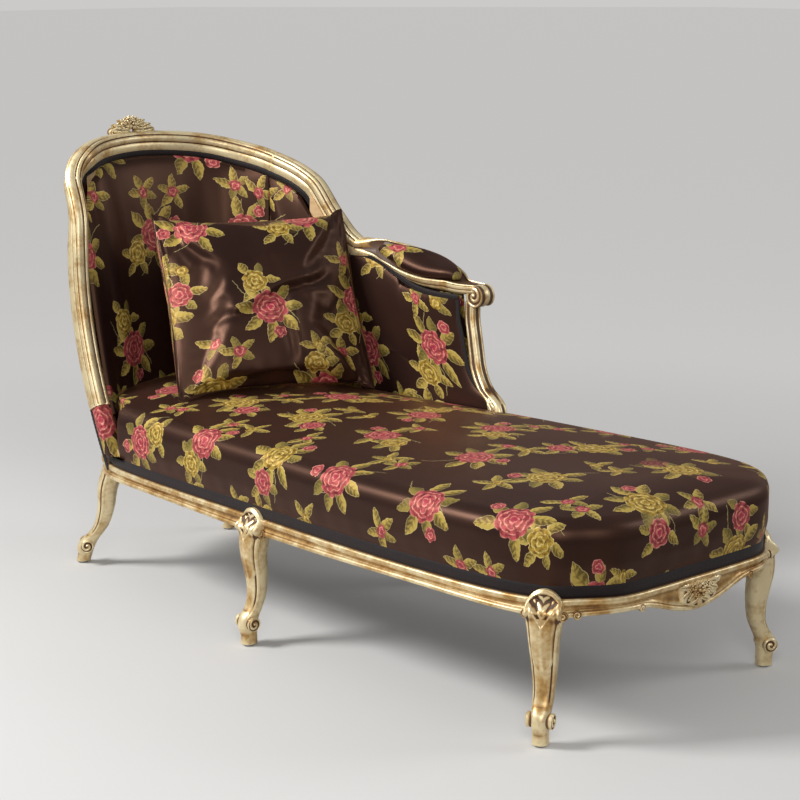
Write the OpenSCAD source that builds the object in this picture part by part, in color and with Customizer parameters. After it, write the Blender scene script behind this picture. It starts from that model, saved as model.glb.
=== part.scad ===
// Chaise longue with a barrel back, one arm and six cabriole legs, in millimetres.
// The long open side faces -Y, the arm side faces +Y and the foot end faces +X.
// All shapes are drawn in a bench frame: x = 0 at the rear face of the seat rails,
// y = 0 on the middle line of the seat and z = 0 on the floor.

/* [Seat frame] */
// Length of the seat frame over its rails
seat_len = 1745; // [1600:5:1850]
// Height of the top edge of the gilded seat rails
rail_top = 290; // [260:1:320]
// Height of the gilded face of a side rail
rail_face = 38; // [32:1:46]
// Thickness of the seat rails
rail_thick = 34; // [28:1:42]
// Height of the tacking rebate above the gilded face
rebate_h = 34; // [26:1:42]
// Step of the tacking rebate behind the gilded face
rebate_step = 12; // [10:0.5:15]
// Extra depth of the foot-end apron under its shell
apron_drop = 30; // [20:1:36]
// Half width of the seat frame at its rounded rear end
rear_half = 296; // [280:1:310]
// Length of the rounded rear end
rear_round = 330; // [310:5:350]
// Half width of the seat frame at the middle legs
mid_half = 340; // [325:1:352]
// Half width of the seat frame near the foot end
foot_half = 368; // [356:1:380]
// Half width of the seat frame at the foot-end legs
foot_leg_half = 332; // [322:1:342]
// Half width of the straight middle of the foot-end rail
foot_flat = 120; // [100:1:140]
// Distance of the foot-end legs from the foot-end face
foot_leg_back = 100; // [90:1:110]
// Distance from the foot-end legs to the middle legs
leg_spacing = 845; // [800:5:880]

/* [Legs] */
// Width of the leg block between the rails
block_w = 62; // [54:1:68]
// Depth of the leg block behind its carved knee
block_d = 50; // [44:1:56]
// Height of the pointed arch of a knee above the rail
arch_h = 13; // [8:1:16]
// Backward rake of the two rear feet
rear_rake = 100; // [80:1:110]
// Outward reach of the scroll toes
toe_reach = 12; // [6:1:18]
// Smallest thickness of a leg, at its ankle
ankle = 31; // [28:1:35]
// Thickness of the glides under the feet
glide_t = 4; // [3:0.5:6]
// Diameter of the glides
glide_d = 22; // [18:1:24]

/* [Back] */
// Height of the show-wood at the crest, without its carving
crest_h = 1035; // [1000:1:1060]
// Height of the arm where its pad begins
arm_h = 785; // [765:1:800]
// Height of the arm at the top of its scroll
arm_front_h = 710; // [700:1:725]
// Backward lean of the back at its middle
back_lean = 63; // [50:1:75]
// Height of the open wing where its edge begins to climb
wing_h = 775; // [755:1:790]
// Backward lean of the open wing's edge
wing_lean = 161; // [150:1:172]
// Height where the carved end of the open stile begins
stile_z = 424; // [415:1:435]
// Width of the show-wood moulding
wood_w = 44; // [40:1:48]
// Thickness of the show-wood moulding
wood_t = 40; // [36:1:44]
// Thickness of the upholstered back at the middle of its panels
pad_t = 92; // [80:1:104]
// Thickness of the outside covers
cover_t = 5; // [4:0.5:8]

/* [Arm] */
// Width of the arm board at its pad
arm_board_w = 94; // [86:1:100]
// Thickness of the arm board
arm_board_t = 24; // [20:1:28]
// Height of the arm pad above the board
arm_pad_h = 30; // [24:1:38]
// Radius of the scroll at the end of the arm
scroll_r = 26; // [22:1:29]
// Width of the scroll at the end of the arm
scroll_w = 48; // [42:1:54]
// Thickness of the arm post
arm_post_t = 27; // [25:1:32]

/* [Upholstery] */
// Height of the crown of the seat
seat_crown = 455; // [445:1:465]
// Rise of the seat crown above its rolled edge
seat_dome = 24; // [16:1:32]
// Outward swell of the seat sides
seat_swell = 10; // [6:1:14]
// Thickness of the seat webbing
web_t = 2; // [1.5:0.5:3]
// Width of a webbing strap
web_w = 50; // [40:5:60]
// Width of the gimp braid
gimp_w = 20; // [16:1:22]
// Thickness of the gimp braid
gimp_t = 2.5; // [2:0.5:3.5]
// Edge length of the loose cushion
pillow_w = 480; // [460:5:500]
// Thickness of the loose cushion at its middle
pillow_t = 120; // [100:2:130]
// Lean of the loose cushion from upright
pillow_lean = 31.6; // [30:0.4:33.2]
// Gap between soft pieces and their neighbours
soft_gap = 0.3; // [0.3:0.1:0.6]

/* [Hidden] */

gilt = [0.86, 0.78, 0.62];
brocade = [0.30, 0.21, 0.18];
braid = [0.12, 0.08, 0.09];
beech = [0.80, 0.65, 0.46];
jute = [0.68, 0.57, 0.40];

// Stations count once round the seat: 0 is the middle of the rear end, 15 the middle
// of the foot end, positive stations lie on the arm side and negative ones opposite.
loop = 30;
rear_leg_at = 3;
mid_leg_at = 7;
foot_leg_at = 11;
rear_curve = 0.909;
foot_leg_x = seat_len - foot_leg_back;
mid_leg_x = foot_leg_x - leg_spacing;

function row_at(rows, i) = rows[max(0, min(len(rows) - 1, i))];
function span(rows, s, i = 0) =
  (i >= len(rows) - 2 || s < rows[i + 1][0]) ? i : span(rows, s, i + 1);
function slope(rows, i, k) =
  let (a = row_at(rows, i - 1), b = row_at(rows, i + 1)) (b[k] - a[k]) / (b[0] - a[0]);
// Smooth curve through column k of rows that start with their station
function curve(rows, s, k) =
  let (i = span(rows, s), a = rows[i], b = rows[i + 1], h = b[0] - a[0], t = (s - a[0]) / h)
  a[k] * (1 + 2 * t) * pow(1 - t, 2) + slope(rows, i, k) * h * t * pow(1 - t, 2)
  + b[k] * t * t * (3 - 2 * t) + slope(rows, i + 1, k) * h * t * t * (t - 1);
function lerp(a, b, t) = a + (b - a) * t;
function rear_point(deg) = [
  rear_round * (1 - pow(cos(deg), rear_curve)),
  rear_half * pow(sin(deg), rear_curve)
];
function station(s, p) = [s, p[0], p[1]];

// Outer edge of the seat rails on one side, from the rear end to the foot end
plan_rows = [
  station(-1, [rear_point(20)[0], -rear_point(20)[1]]),
  station(0, [0, 0]),
  station(1, rear_point(20)),
  station(2, rear_point(38)),
  station(rear_leg_at, rear_point(52)),
  station(4, rear_point(72)),
  station(5, [rear_round + 30, rear_half + 10]),
  station(6, [lerp(rear_round, mid_leg_x, 0.53), lerp(rear_half, mid_half, 0.65)]),
  station(mid_leg_at, [mid_leg_x, mid_half]),
  station(8, [mid_leg_x + leg_spacing * 0.33, lerp(mid_half, foot_half, 0.7)]),
  station(9, [mid_leg_x + leg_spacing * 0.61, foot_half]),
  station(10, [mid_leg_x + leg_spacing * 0.85, foot_half - 5]),
  station(foot_leg_at, [foot_leg_x, foot_leg_half]),
  station(12, [seat_len - foot_leg_back * 0.45, lerp(foot_leg_half, foot_flat, 0.275)]),
  station(13, [seat_len - foot_leg_back * 0.08, lerp(foot_leg_half, foot_flat, 0.565)]),
  station(14, [seat_len, foot_flat]),
  station(15, [seat_len, 0]),
  station(16, [seat_len, -foot_flat])
];
function wrap(s) = s - loop * floor((s + loop / 2) / loop);
function rim(s) =
  let (w = wrap(s), side = w < 0 ? -1 : 1)
  [curve(plan_rows, abs(w), 1), side * curve(plan_rows, abs(w), 2)];
function rim_normal(s) =
  let (d = rim(s + 0.02) - rim(s - 0.02)) [-d[1], d[0]] / norm(d);
function rim_in(s, inset) = rim(s) - inset * rim_normal(s);
function rim_heading(s) = let (n = rim_normal(s)) atan2(n[1], n[0]);

// Six times the volume inside flat faces, negative where they face inwards
function face_volume(points, f) =
  [for (k = [1 : len(f) - 2]) points[f[0]] * cross(points[f[k]], points[f[k + 1]])]
  * [for (k = [1 : len(f) - 2]) 1];
function turned(f) = [for (k = [len(f) - 1 : -1 : 0]) f[k]];
// Solid between rings of points, each ring with as many points as the first; rings
// whose second half runs back along their first half are closed with strips, and rings
// of a hollowed outline are closed round the two hub points
module skin(rings, strips = false, hubs = []) {
  n = len(rings[0]);
  m = len(rings);
  points = concat([for (ring = rings) each ring], hubs);
  walls = [
    for (i = [0 : m - 2], j = [0 : n - 1])
      let (a = i * n + j, b = i * n + (j + 1) % n)
      each [[a, b, b + n], [a, b + n, a + n]]
  ];
  ladder = [
    for (j = [0 : n / 2 - 2]) each [[j + 1, j, n - 1 - j], [j + 1, n - 1 - j, n - 2 - j]]
  ];
  star = [for (j = [0 : n - 1]) [(j + 1) % n, j, n * m]];
  start = len(hubs) > 0 ? star : strips ? ladder : [[for (j = [n - 1 : -1 : 0]) j]];
  end = [for (f = start) [for (k = turned(f)) k < n ? k + (m - 1) * n : k + 1]];
  faces = concat(walls, start, end);
  volume = [for (f = faces) face_volume(points, f)] * [for (f = faces) 1];
  polyhedron(points, volume > 0 ? [for (f = faces) turned(f)] : faces, convexity = 6);
}

// Seat rails
rail_low = rail_top - rail_face;
rebate_top = rail_top + rebate_h;
station_step = 0.5;
// Extra depth of a rail's lower edge at station s
function rail_drop(s) =
  let (w = abs(wrap(s)))
  w > foot_leg_at
    ? apron_drop * pow(max(0, cos((loop / 2 - w) * 62)), 2) + 6 * pow(sin((w - 13) * 45), 2)
    : 5 * pow(cos((w - rear_leg_at) * 45), 2);
function rail_profile(s) =
  let (low = rail_low - rail_drop(s))
  [
    [rail_thick, low + 2], [4, low], [0, low + 3], [0, low + 9], [4, low + 13],
    [6, rail_top - 20], [5, rail_top - 14], [0, rail_top - 11], [-2, rail_top - 6],
    [0, rail_top], [rebate_step, rail_top], [rebate_step, rebate_top], [rail_thick, rebate_top]
  ];
rail_hub = [rail_thick - 14, rail_top - 15];
module rail_form(from, to) {
  skin(
    [
      for (s = [from : station_step : to])
        [for (p = rail_profile(s)) [each rim_in(s, p[0]), p[1]]]
    ],
    hubs = [for (s = [from, to]) [each rim_in(s, rail_hub[0]), rail_hub[1]]]
  );
}
module rail(from, to) {
  color(gilt)
    placed()
      difference() {
        rail_form(from, to);
        at_station(from) leg_slot(from);
        at_station(to) leg_slot(to);
      }
}
// Local frame of a leg: x points outwards, y along the rails
module at_station(s) {
  p = rim(s);
  translate([p[0], p[1], 0]) rotate([0, 0, rim_heading(s)]) children();
}
module leg_slot(s) {
  ahead = is_rear(s) ? -plain_back : 2 * rail_thick;
  rotate([90, 0, 0])
    linear_extrude(block_w, center = true)
      polygon([
        [-2 * rail_thick, 0], [2 * rail_thick, 0], [2 * rail_thick, leg_top], [ahead, leg_top],
        [ahead, rebate_top + 1], [-2 * rail_thick, rebate_top + 1]
      ]);
}
module rail_rear() rail(-rear_leg_at, rear_leg_at);
module rail_right_rear() rail(rear_leg_at, mid_leg_at);
module rail_right_front() rail(mid_leg_at, foot_leg_at);
module rail_foot() rail(foot_leg_at, loop - foot_leg_at);
module rail_left_front() rail(loop - foot_leg_at, loop - mid_leg_at);
module rail_left_rear() rail(loop - mid_leg_at, loop - rear_leg_at);

// Cabriole leg: rows of height, outward place, depth and width from toe to knee
leg_ring_sides = 12;
leg_levels = 12;
leg_top = rail_low - 2.5;
leg_rows = [
  [0, toe_reach, ankle + 3, ankle + 3],
  [0.08, toe_reach, ankle + 5, ankle + 3],
  [0.16, toe_reach + 4, ankle + 20, ankle + 16],
  [0.24, toe_reach, ankle + 17, ankle + 19],
  [0.31, toe_reach - 12, ankle + 2, ankle + 4],
  [0.42, toe_reach - 22, ankle, ankle],
  [0.6, toe_reach - 22, ankle + 6, ankle + 5],
  [0.78, toe_reach - 16, ankle + 16, ankle + 14],
  [0.9, toe_reach - 12, ankle + 24, block_w - 8],
  [1, toe_reach - 18, ankle + 26, block_w]
];
function sign_pow(v, e) = sign(v) * pow(abs(v), e);
function is_rear(s) = abs(wrap(s)) <= rear_leg_at;
function leg_ring(t, rake, set_back) =
  let (
    z = lerp(glide_t, leg_top, t),
    mid = curve(leg_rows, t, 1) - set_back * t * t,
    depth = curve(leg_rows, t, 2) - set_back * 0.4 * t * t,
    width = min(block_w, curve(leg_rows, t, 3)),
    back = rake * pow(1 - t, 1.5)
  )
  [
    for (j = [0 : leg_ring_sides - 1])
      let (a = 360 * (j + 0.5) / leg_ring_sides)
      [
        mid + back[0] + depth / 2 * sign_pow(cos(a), 0.8),
        back[1] + width / 2 * sign_pow(sin(a), 0.8),
        z
      ]
  ];
// Bench frame rake turned into the leg's own frame
function leg_rake(s) =
  let (h = rim_heading(s), side = sign(wrap(s)))
  is_rear(s)
    ? [-rear_rake * cos(h) - 20 * side * sin(h), rear_rake * sin(h) - 20 * side * cos(h)]
    : [0, 0];
knee_proud = 9;
arch_t = rebate_step - 2 + knee_proud;
// The rear legs are plain: they stand behind the face of the rails
plain_back = 14;
module leg(s) {
  face = is_rear(s) ? plain_back : 0;
  color(gilt)
    placed()
      at_station(s) {
        difference() {
          union() {
            skin([
              for (i = [0 : leg_levels])
                leg_ring(i / leg_levels, leg_rake(s), is_rear(s) ? plain_back : 0)
            ]);
            translate([-block_d, -block_w / 2, leg_top - 0.5])
              cube([block_d - face, block_w, rail_top - leg_top + 0.5]);
            if (!is_rear(s)) knee_shield();
          }
          if (abs(wrap(s)) != mid_leg_at)
            screw_line() cylinder(d = screw_d, h = screw_len, $fn = 16);
        }
      }
}
// Raised shield of the knee, with a pointed arch over the rail
module knee_shield() {
  rotate([90, 0, 90])
    translate([0, 0, knee_proud - arch_t])
      linear_extrude(arch_t)
        polygon([
          [-block_w / 2, leg_top - 4], [-block_w * 0.36, leg_top - 24], [0, leg_top - 34],
          [block_w * 0.36, leg_top - 24], [block_w / 2, leg_top - 4], [block_w / 2, rail_top - 6],
          [block_w * 0.38, rail_top + 3], [block_w * 0.18, rail_top + arch_h - 4],
          [0, rail_top + arch_h], [-block_w * 0.18, rail_top + arch_h - 4],
          [-block_w * 0.38, rail_top + 3], [-block_w / 2, rail_top - 6]
        ]);
}
module leg_rear_right() leg(rear_leg_at);
module leg_mid_right() leg(mid_leg_at);
module leg_foot_right() leg(foot_leg_at);
module leg_foot_left() leg(-foot_leg_at);
module leg_mid_left() leg(-mid_leg_at);
module leg_rear_left() leg(-rear_leg_at);
leg_stations = [
  rear_leg_at, mid_leg_at, foot_leg_at, -foot_leg_at, -mid_leg_at, -rear_leg_at
];
corner_stations = [rear_leg_at, foot_leg_at, -foot_leg_at, -rear_leg_at];

module foot_glides() {
  color("dimgray")
    placed()
      for (s = leg_stations)
        at_station(s) {
          rake = leg_rake(s);
          translate([toe_reach + rake[0], rake[1], 0]) cylinder(d = glide_d, h = glide_t, $fn = 16);
        }
}

// Glue blocks behind the four corner legs, with one screw each
screw_d = 5;
screw_len = 62;
screw_head_d = 10;
screw_head_t = 3;
corner_block_t = 34;
corner_block_h = 32;
corner_block_z = rail_low + 4;
module screw_line() {
  translate([-block_d - corner_block_t, 0, corner_block_z + corner_block_h / 2])
    rotate([0, 90, 0]) children();
}
module corner_blocks() {
  color(beech)
    placed()
      for (s = corner_stations)
        at_station(s)
          difference() {
            translate([-block_d - corner_block_t, -block_w / 2, corner_block_z])
              cube([corner_block_t, block_w, corner_block_h]);
            screw_line() cylinder(d = screw_d, h = corner_block_t + 1, $fn = 16);
          }
}
module corner_screws() {
  color("silver")
    placed()
      for (s = corner_stations)
        at_station(s)
          screw_line() {
            cylinder(d = screw_d, h = screw_len, $fn = 16);
            translate([0, 0, -screw_head_t]) cylinder(d = screw_head_d, h = screw_head_t, $fn = 16);
          }
}

// Two bearers between the side rails, one behind the middle legs and one near the foot
bearer_w = 45;
bearer_t = 28;
module bearer(s) {
  color(beech)
    placed()
      intersection() {
        translate([rim(s)[0] - bearer_w / 2, -foot_half, rail_low + 4])
          cube([bearer_w, 2 * foot_half, bearer_t]);
        seat_slab(rail_thick, rail_low, rail_face);
      }
}
module bearer_mid() bearer(mid_leg_at - 1.2);
module bearer_foot() bearer(mid_leg_at + 2);
seat_sides = loop / station_step;
// Flat slab with the outline of the seat frame, moved inwards by inset
module seat_slab(inset, z, h) {
  translate([0, 0, z])
    linear_extrude(h)
      polygon([for (i = [0 : seat_sides - 1]) rim_in(i * loop / seat_sides, inset)]);
}

// Webbing straps tacked on the rebates, lengthwise below and crosswise above
web_pitch = 110;
web_end = rail_thick - 8;
module webbing_long() {
  color(jute)
    placed()
      difference() {
        intersection() {
          for (i = [-2 : 2])
            translate([0, i * web_pitch - web_w / 2, rebate_top]) cube([seat_len, web_w, web_t]);
          seat_slab(web_end, rebate_top, web_t);
        }
        post_feet();
      }
}
module webbing_cross() {
  color(jute)
    placed()
      difference() {
        intersection() {
          for (x = [web_pitch * 1.6 : web_pitch : seat_len - web_pitch])
            translate([x - web_w / 2, -foot_half, rebate_top + web_t])
              cube([web_w, 2 * foot_half, web_t]);
          seat_slab(web_end, rebate_top + web_t, web_t);
        }
        post_feet();
      }
}
module post_feet() {
  for (s = post_stations)
    skin([
      for (z = [rebate_top - 1, foam_z])
        [
          for (c = [[-1, post_out - 1], [1, post_out - 1], [1, post_in + 1], [-1, post_in + 1]])
            [each rim_in(s + c[0] * (post_half + 0.02), c[1]), z]
        ]
    ]);
}

// Seat foam and its crowned cover
foam_inset = 42;
foam_z = rebate_top + 2 * web_t;
edge_z = seat_crown - seat_dome;
foam_h = edge_z - 18 - foam_z;
module seat_foam() {
  color("beige")
    placed()
      difference() {
        seat_slab(foam_inset, foam_z, foam_h);
        post_notch();
      }
}
// Rows of inset and height up the side of the seat, then shares towards the middle line
side_rows = [
  [rebate_step - 2, rail_top + soft_gap], [rebate_step - 2, rail_top + gimp_w - 1],
  [rebate_step - 6, rail_top + gimp_w + 3],
  [9 - seat_swell, lerp(rail_top, edge_z, 0.42)], [8 - seat_swell, lerp(rail_top, edge_z, 0.62)],
  [12 - seat_swell, lerp(rail_top, edge_z, 0.82)], [22 - seat_swell, edge_z - 9],
  [40 - seat_swell, edge_z + 2]
];
crown_rows = [0.16, 0.36, 0.6, 0.94];
spine_end = 150;
function spine(p) = [max(spine_end * 1.6, min(seat_len - spine_end, p[0])), 0];
function crown_point(s, share) =
  let (p = rim_in(s, side_rows[len(side_rows) - 1][0]))
  [
    each lerp(p, spine(p), share),
    seat_crown - (seat_dome - 2) * pow(1 - share, 2.2)
  ];
module seat_form() {
  skin(concat(
    [
      for (row = side_rows)
        [for (i = [0 : seat_sides - 1]) [each rim_in(-i * loop / seat_sides, row[0]), row[1]]]
    ],
    [
      for (share = crown_rows)
        [for (i = [0 : seat_sides - 1]) crown_point(-i * loop / seat_sides, share)]
    ]
  ));
}
module seat_cover() {
  color(brocade)
    placed()
      difference() {
        seat_form();
        seat_slab(rebate_step, rail_top - 1, foam_z - rail_top + 1);
        seat_slab(foam_inset - soft_gap, foam_z - 1, foam_h + 1);
        for (s = face_legs) at_station(s) knee_space();
        post_notch();
        back_space();
      }
}
face_legs = [mid_leg_at, foot_leg_at, -foot_leg_at, -mid_leg_at];
// Braid round the foot of the seat cover
module seat_gimp() {
  inner = rebate_step - 2 - soft_gap;
  color(braid)
    placed()
      difference() {
        seat_slab(inner - gimp_t, rail_top, gimp_w - 2);
        seat_slab(inner, rail_top - 1, gimp_w);
        for (s = face_legs) at_station(s) knee_space();
        post_notch();
      }
}
module knee_space() {
  translate([-rebate_step - soft_gap, -block_w / 2 - soft_gap, rail_top - 1])
    cube([rebate_step + knee_proud + 2, block_w + 2 * soft_gap, arch_h + 2]);
}

// Cambric dust cover under the frame
dust_t = 1;
module dust_cover() {
  color("black")
    placed()
      difference() {
        seat_slab(rail_thick + soft_gap, corner_block_z - dust_t, dust_t);
        for (s = leg_stations) at_station(s) leg_slot(s);
      }
}

// Back shell: rows of station, lean, flare and height of the show-wood's outer edge
left_at = -4.2;
stile_top_at = -3;
joint_at = 4;
seam_at = 3.8;
wing_end_at = 5.4;
arm_at = 5.9;
front_at = 7;
function to_wing(t) = lerp(crest_h, wing_h, t);
function to_arm(t) = lerp(crest_h, arm_h, t);
back_rows = [
  [left_at, wing_lean, -20, wing_h], [-3.8, wing_lean - 35, -14, to_wing(0.712)],
  [-3.4, wing_lean - 54, -2, to_wing(0.508)], [-3, wing_lean - 65, 12, to_wing(0.346)],
  [-2.5, wing_lean - 74, 8, to_wing(0.185)], [-2, wing_lean - 86, -2, to_wing(0.088)],
  [-1, back_lean + 2, 0, to_wing(0.027)], [0, back_lean, 0, crest_h],
  [1, back_lean + 8, 0, to_arm(0.016)], [2, back_lean + 25, 6, to_arm(0.052)],
  [3, back_lean + 20, 26, to_arm(0.12)], [joint_at, back_lean + 18, 30, to_arm(0.228)],
  [5, back_lean + 42, 37, to_arm(0.436)], [5.5, back_lean + 74, 40, to_arm(0.784)],
  [arm_at, back_lean + 88, 32, arm_h], [6.4, back_lean - 10, 22, arm_front_h + 26],
  [front_at, back_lean - 55, 20, arm_front_h + 20], [8, back_lean - 60, 20, arm_front_h + 20]
];
function rise(v) = 1 - pow(1 - v, 1.8);
function edge_h(s) = curve(back_rows, s, 3);
// Point of the back shell at station s and height share v, moved inwards by inset
function shell(s, v, inset) =
  let (n = rim_normal(s), side = s < 0 ? -1 : 1, p = rim(s))
  [
    p[0] - curve(back_rows, s, 1) * rise(v) - inset * n[0],
    p[1] + side * curve(back_rows, s, 2) * v - inset * n[1],
    lerp(rail_top, edge_h(s), v)
  ];
// Steepness of the upper edge, and the height that the show-wood takes there
function plan_of(p) = [p[0], p[1]];
function steepness(s) =
  (edge_h(s + 0.05) - edge_h(s - 0.05))
  / norm(plan_of(shell(s + 0.05, 1, 0)) - plan_of(shell(s - 0.05, 1, 0)));
function under(s, depth) =
  1 - min(150, depth * sqrt(1 + pow(steepness(s), 2))) / (edge_h(s) - rail_top);
function share_at(s, z) = (z - rail_top) / (edge_h(s) - rail_top);

// Show-wood path: q from 0 to 1 climbs the open stile, then q counts stations
stile_share = share_at(left_at, stile_z);
function wood_point(q) =
  q < 1 ? shell(left_at, lerp(stile_share, 1, q), 0) : shell(left_at + q - 1, 1, 0);
function unit(v) = v / norm(v);
function wood_along(q) = unit(wood_point(q + 0.03) - wood_point(q - 0.03));
function wood_out(q) =
  let (n = rim_normal(left_at + max(0, q - 1)), t = wood_along(q), n3 = [n[0], n[1], 0])
  unit(n3 - (n3 * t) * t);
// Place of a profile point: a outwards from the shell, b towards the free edge
function on_wood(q, a, b) =
  let (n = wood_out(q)) wood_point(q) + a * n + b * cross(wood_along(q), n);
function q_at(s) = s - left_at + 1;
proud = 6;
inner_a = proud - wood_t;
wood_profile = [
  [proud, -wood_w], [proud, -14], [proud - 3, -11], [proud - 3, -8], [0, -2], [-6, 0],
  [-wood_t / 2, 0], [-wood_t / 2 - 4, -4], [-wood_t / 2 - 7, -4], [inner_a, -10],
  [inner_a, -22], [inner_a + 4, -25], [inner_a + 4, -28], [inner_a, -31], [inner_a, -wood_w]
];
wood_hub = [inner_a / 2 + 3, -wood_w / 2 - 2];
module wood_run(qs, profile) {
  skin(
    [for (q = qs) [for (p = profile) on_wood(q, p[0], p[1])]],
    hubs = len(profile) < 5
      ? []
      : [for (q = [qs[0], qs[len(qs) - 1]]) on_wood(q, wood_hub[0], wood_hub[1])]
  );
}
function run(from, to, steps) = [for (i = [0 : steps]) lerp(from, to, i / steps)];
function rest(list) = [for (i = [1 : len(list) - 1]) list[i]];
stile_qs = run(0, q_at(stile_top_at), 12);
crest_qs = run(q_at(stile_top_at), q_at(joint_at), 21);
sweep_qs = run(q_at(joint_at), q_at(arm_at), 11);
wood_qs = concat(stile_qs, rest(crest_qs), rest(sweep_qs));
// Part of the show-wood's stations that covers those from low to high
function qs_over(low, high) = [for (q = wood_qs) if (q > low - 0.4 && q < high + 0.4) q];
// Rectangular strip along the show-wood, from a0 to a1 and from b0 to b1
function strip(a0, a1, b0, b1) = [[a0, b0], [a1, b0], [a1, b1], [a0, b1]];
dowel_d = 10;
dowel_len = 50;
joint_qs = [q_at(stile_top_at), q_at(joint_at), q_at(arm_at)];
module dowel(q, len, d) {
  t = wood_along(q);
  translate(on_wood(q, inner_a / 2 + 2, -wood_w / 2))
    rotate([0, acos(t[2]), atan2(t[1], t[0])])
      cylinder(d = d, h = len, center = true, $fn = 16);
}
module stile_left() {
  color(gilt)
    placed()
      difference() {
        wood_run(stile_qs, wood_profile);
        dowel(joint_qs[0], dowel_len, dowel_d);
      }
}
module crest_wood() {
  wood_run(crest_qs, wood_profile);
}
module crest_rail() {
  color(gilt)
    placed()
      difference() {
        crest_wood();
        dowel(joint_qs[0], dowel_len, dowel_d);
        dowel(joint_qs[1], dowel_len, dowel_d);
      }
}
module sweep_rail() {
  color(gilt)
    placed()
      difference() {
        wood_run(sweep_qs, wood_profile);
        dowel(joint_qs[1], dowel_len, dowel_d);
        dowel(joint_qs[2], dowel_len, dowel_d);
      }
}
module wood_dowels() {
  color(beech)
    placed()
      for (q = joint_qs) dowel(q, dowel_len - 2, dowel_d);
}

// Arm board: rows of forward place, sideways place and height of the middle of its
// face, then width, thickness and roll; it rolls from the moulding's upright face to a
// nearly level one that carries the pad
arm_from = q_at(arm_at);
arm_start = on_wood(arm_from, inner_a, -wood_w / 2);
arm_steps = 17;
arm_last = 7;
scroll_x = mid_leg_x - 15;
scroll_y = mid_half + 28;
function arm_x(t) = lerp(arm_start[0], scroll_x, t);
function arm_z(t) = lerp(arm_start[2], arm_front_h, t);
arm_rows = [
  [0, arm_start[0], arm_start[1], arm_start[2], wood_w, wood_t, 0],
  [1, arm_x(0.147), mid_half - 4, arm_z(-0.05), wood_w + 4, wood_t - 6, 12],
  [2, arm_x(0.276), mid_half + 2, arm_z(0.08), wood_w + 18, arm_board_t + 4, 34],
  [3, arm_x(0.431), mid_half + 17, arm_z(0.37), arm_board_w - 8, arm_board_t, 50],
  [4, arm_x(0.6), mid_half + 26, arm_z(0.62), arm_board_w, arm_board_t, 62],
  [5, arm_x(0.755), mid_half + 24, arm_z(0.8), arm_board_w - 14, arm_board_t, 73],
  [6, arm_x(0.87), mid_half + 18, arm_z(0.96), scroll_w + 4, arm_board_t, 82],
  [arm_last, scroll_x, scroll_y, arm_front_h - 1.5, scroll_w - 4, arm_board_t - 4, 88]
];
function arm_mid(k) = [curve(arm_rows, k, 1), curve(arm_rows, k, 2), curve(arm_rows, k, 3)];
function arm_along(k) =
  k <= 0 ? wood_along(arm_from) : unit(arm_mid(min(arm_last, k + 0.1)) - arm_mid(k - 0.1));
function arm_side(k) = let (t = arm_along(k), n = wood_out(arm_from)) unit(n - (n * t) * t);
// Point of the board's section: u across its face, w out of its face
function on_arm(k, u, w) =
  let (r = curve(arm_rows, k, 6), n = arm_side(k), up = cross(arm_along(k), n))
  arm_mid(k) + u * (cos(r) * up + sin(r) * n) + w * (sin(r) * up - cos(r) * n);
arm_edge = [
  [-0.5, -6], [-0.47, -1], [-0.42, 0], [-0.38, -3], [0.38, -3], [0.42, 0], [0.47, -1],
  [0.5, -6]
];
function board_ring(k) =
  let (w = curve(arm_rows, k, 4), t = curve(arm_rows, k, 5))
  concat(
    [for (p = arm_edge) on_arm(k, p[0] * w, p[1])],
    [on_arm(k, w / 2, -t + 5), on_arm(k, w / 2 - 5, -t)],
    [on_arm(k, 5 - w / 2, -t), on_arm(k, -w / 2, -t + 5)]
  );
module board_form() {
  skin(
    [for (i = [0 : arm_steps]) board_ring(arm_last * i / arm_steps)],
    hubs = [for (k = [0, arm_last]) on_arm(k, 0, 4 - curve(arm_rows, k, 5))]
  );
  scroll_at() {
    cylinder(r = scroll_r, h = scroll_w, center = true, $fn = 28);
    cylinder(r = scroll_r * 0.42, h = scroll_w + 8, center = true, $fn = 20);
  }
}
module scroll_at() {
  translate([scroll_x, scroll_y, arm_front_h - scroll_r])
    rotate([90, 0, 0]) children();
}
module arm_board() {
  color(gilt)
    placed()
      difference() {
        board_form();
        dowel(joint_qs[2], dowel_len, dowel_d);
      }
}

// Arm post: rows of height, then forward and sideways place and thickness
post_rows = [
  [rebate_top, 100, -20, 15], [400, 97, -20, 14], [450, 84, -17, 12], [478, 40, -6, 6],
  [515, 8, 5, 3], [550, -5, 11, 1], [590, -17, 16, 0], [630, -30, 22, 0], [665, -34, 26, 0]
];
post_steps = 14;
function post_mid(z) = [
  mid_leg_x + curve(post_rows, z, 1),
  mid_half + curve(post_rows, z, 2),
  z
];
function post_wide(z) = arm_post_t + curve(post_rows, z, 3);
module post_form(ease = 0) {
  skin([
    for (i = [0 : post_steps])
      let (z = lerp(rebate_top, arm_front_h - 45, i / post_steps), w = post_wide(z))
      [
        for (j = [0 : 11])
          let (a = 30 * j + 15)
          post_mid(z) + [
            (w / 2 + ease) * sign_pow(cos(a), 0.6),
            (arm_post_t / 2 + ease) * sign_pow(sin(a), 0.6),
            0
          ]
      ]
  ]);
}
module arm_post() {
  color(gilt)
    placed()
      difference() {
        post_form();
        board_form();
      }
}
module post_notch() {
  foot = post_mid(rebate_top);
  ahead = foot[0] + post_wide(rebate_top) / 2 + soft_gap;
  behind = post_mid(seat_crown)[0] - post_wide(seat_crown) / 2 - soft_gap;
  depth = arm_post_t / 2 + soft_gap;
  translate([behind, foot[1] - depth, rail_top + gimp_w])
    cube([ahead - behind, rail_thick + 60, seat_crown - rail_top]);
  translate([foot[0] * 2 - ahead, foot[1] - depth, rebate_top])
    cube([(ahead - foot[0]) * 2, rail_thick + 60, seat_crown - rebate_top]);
}

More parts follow.
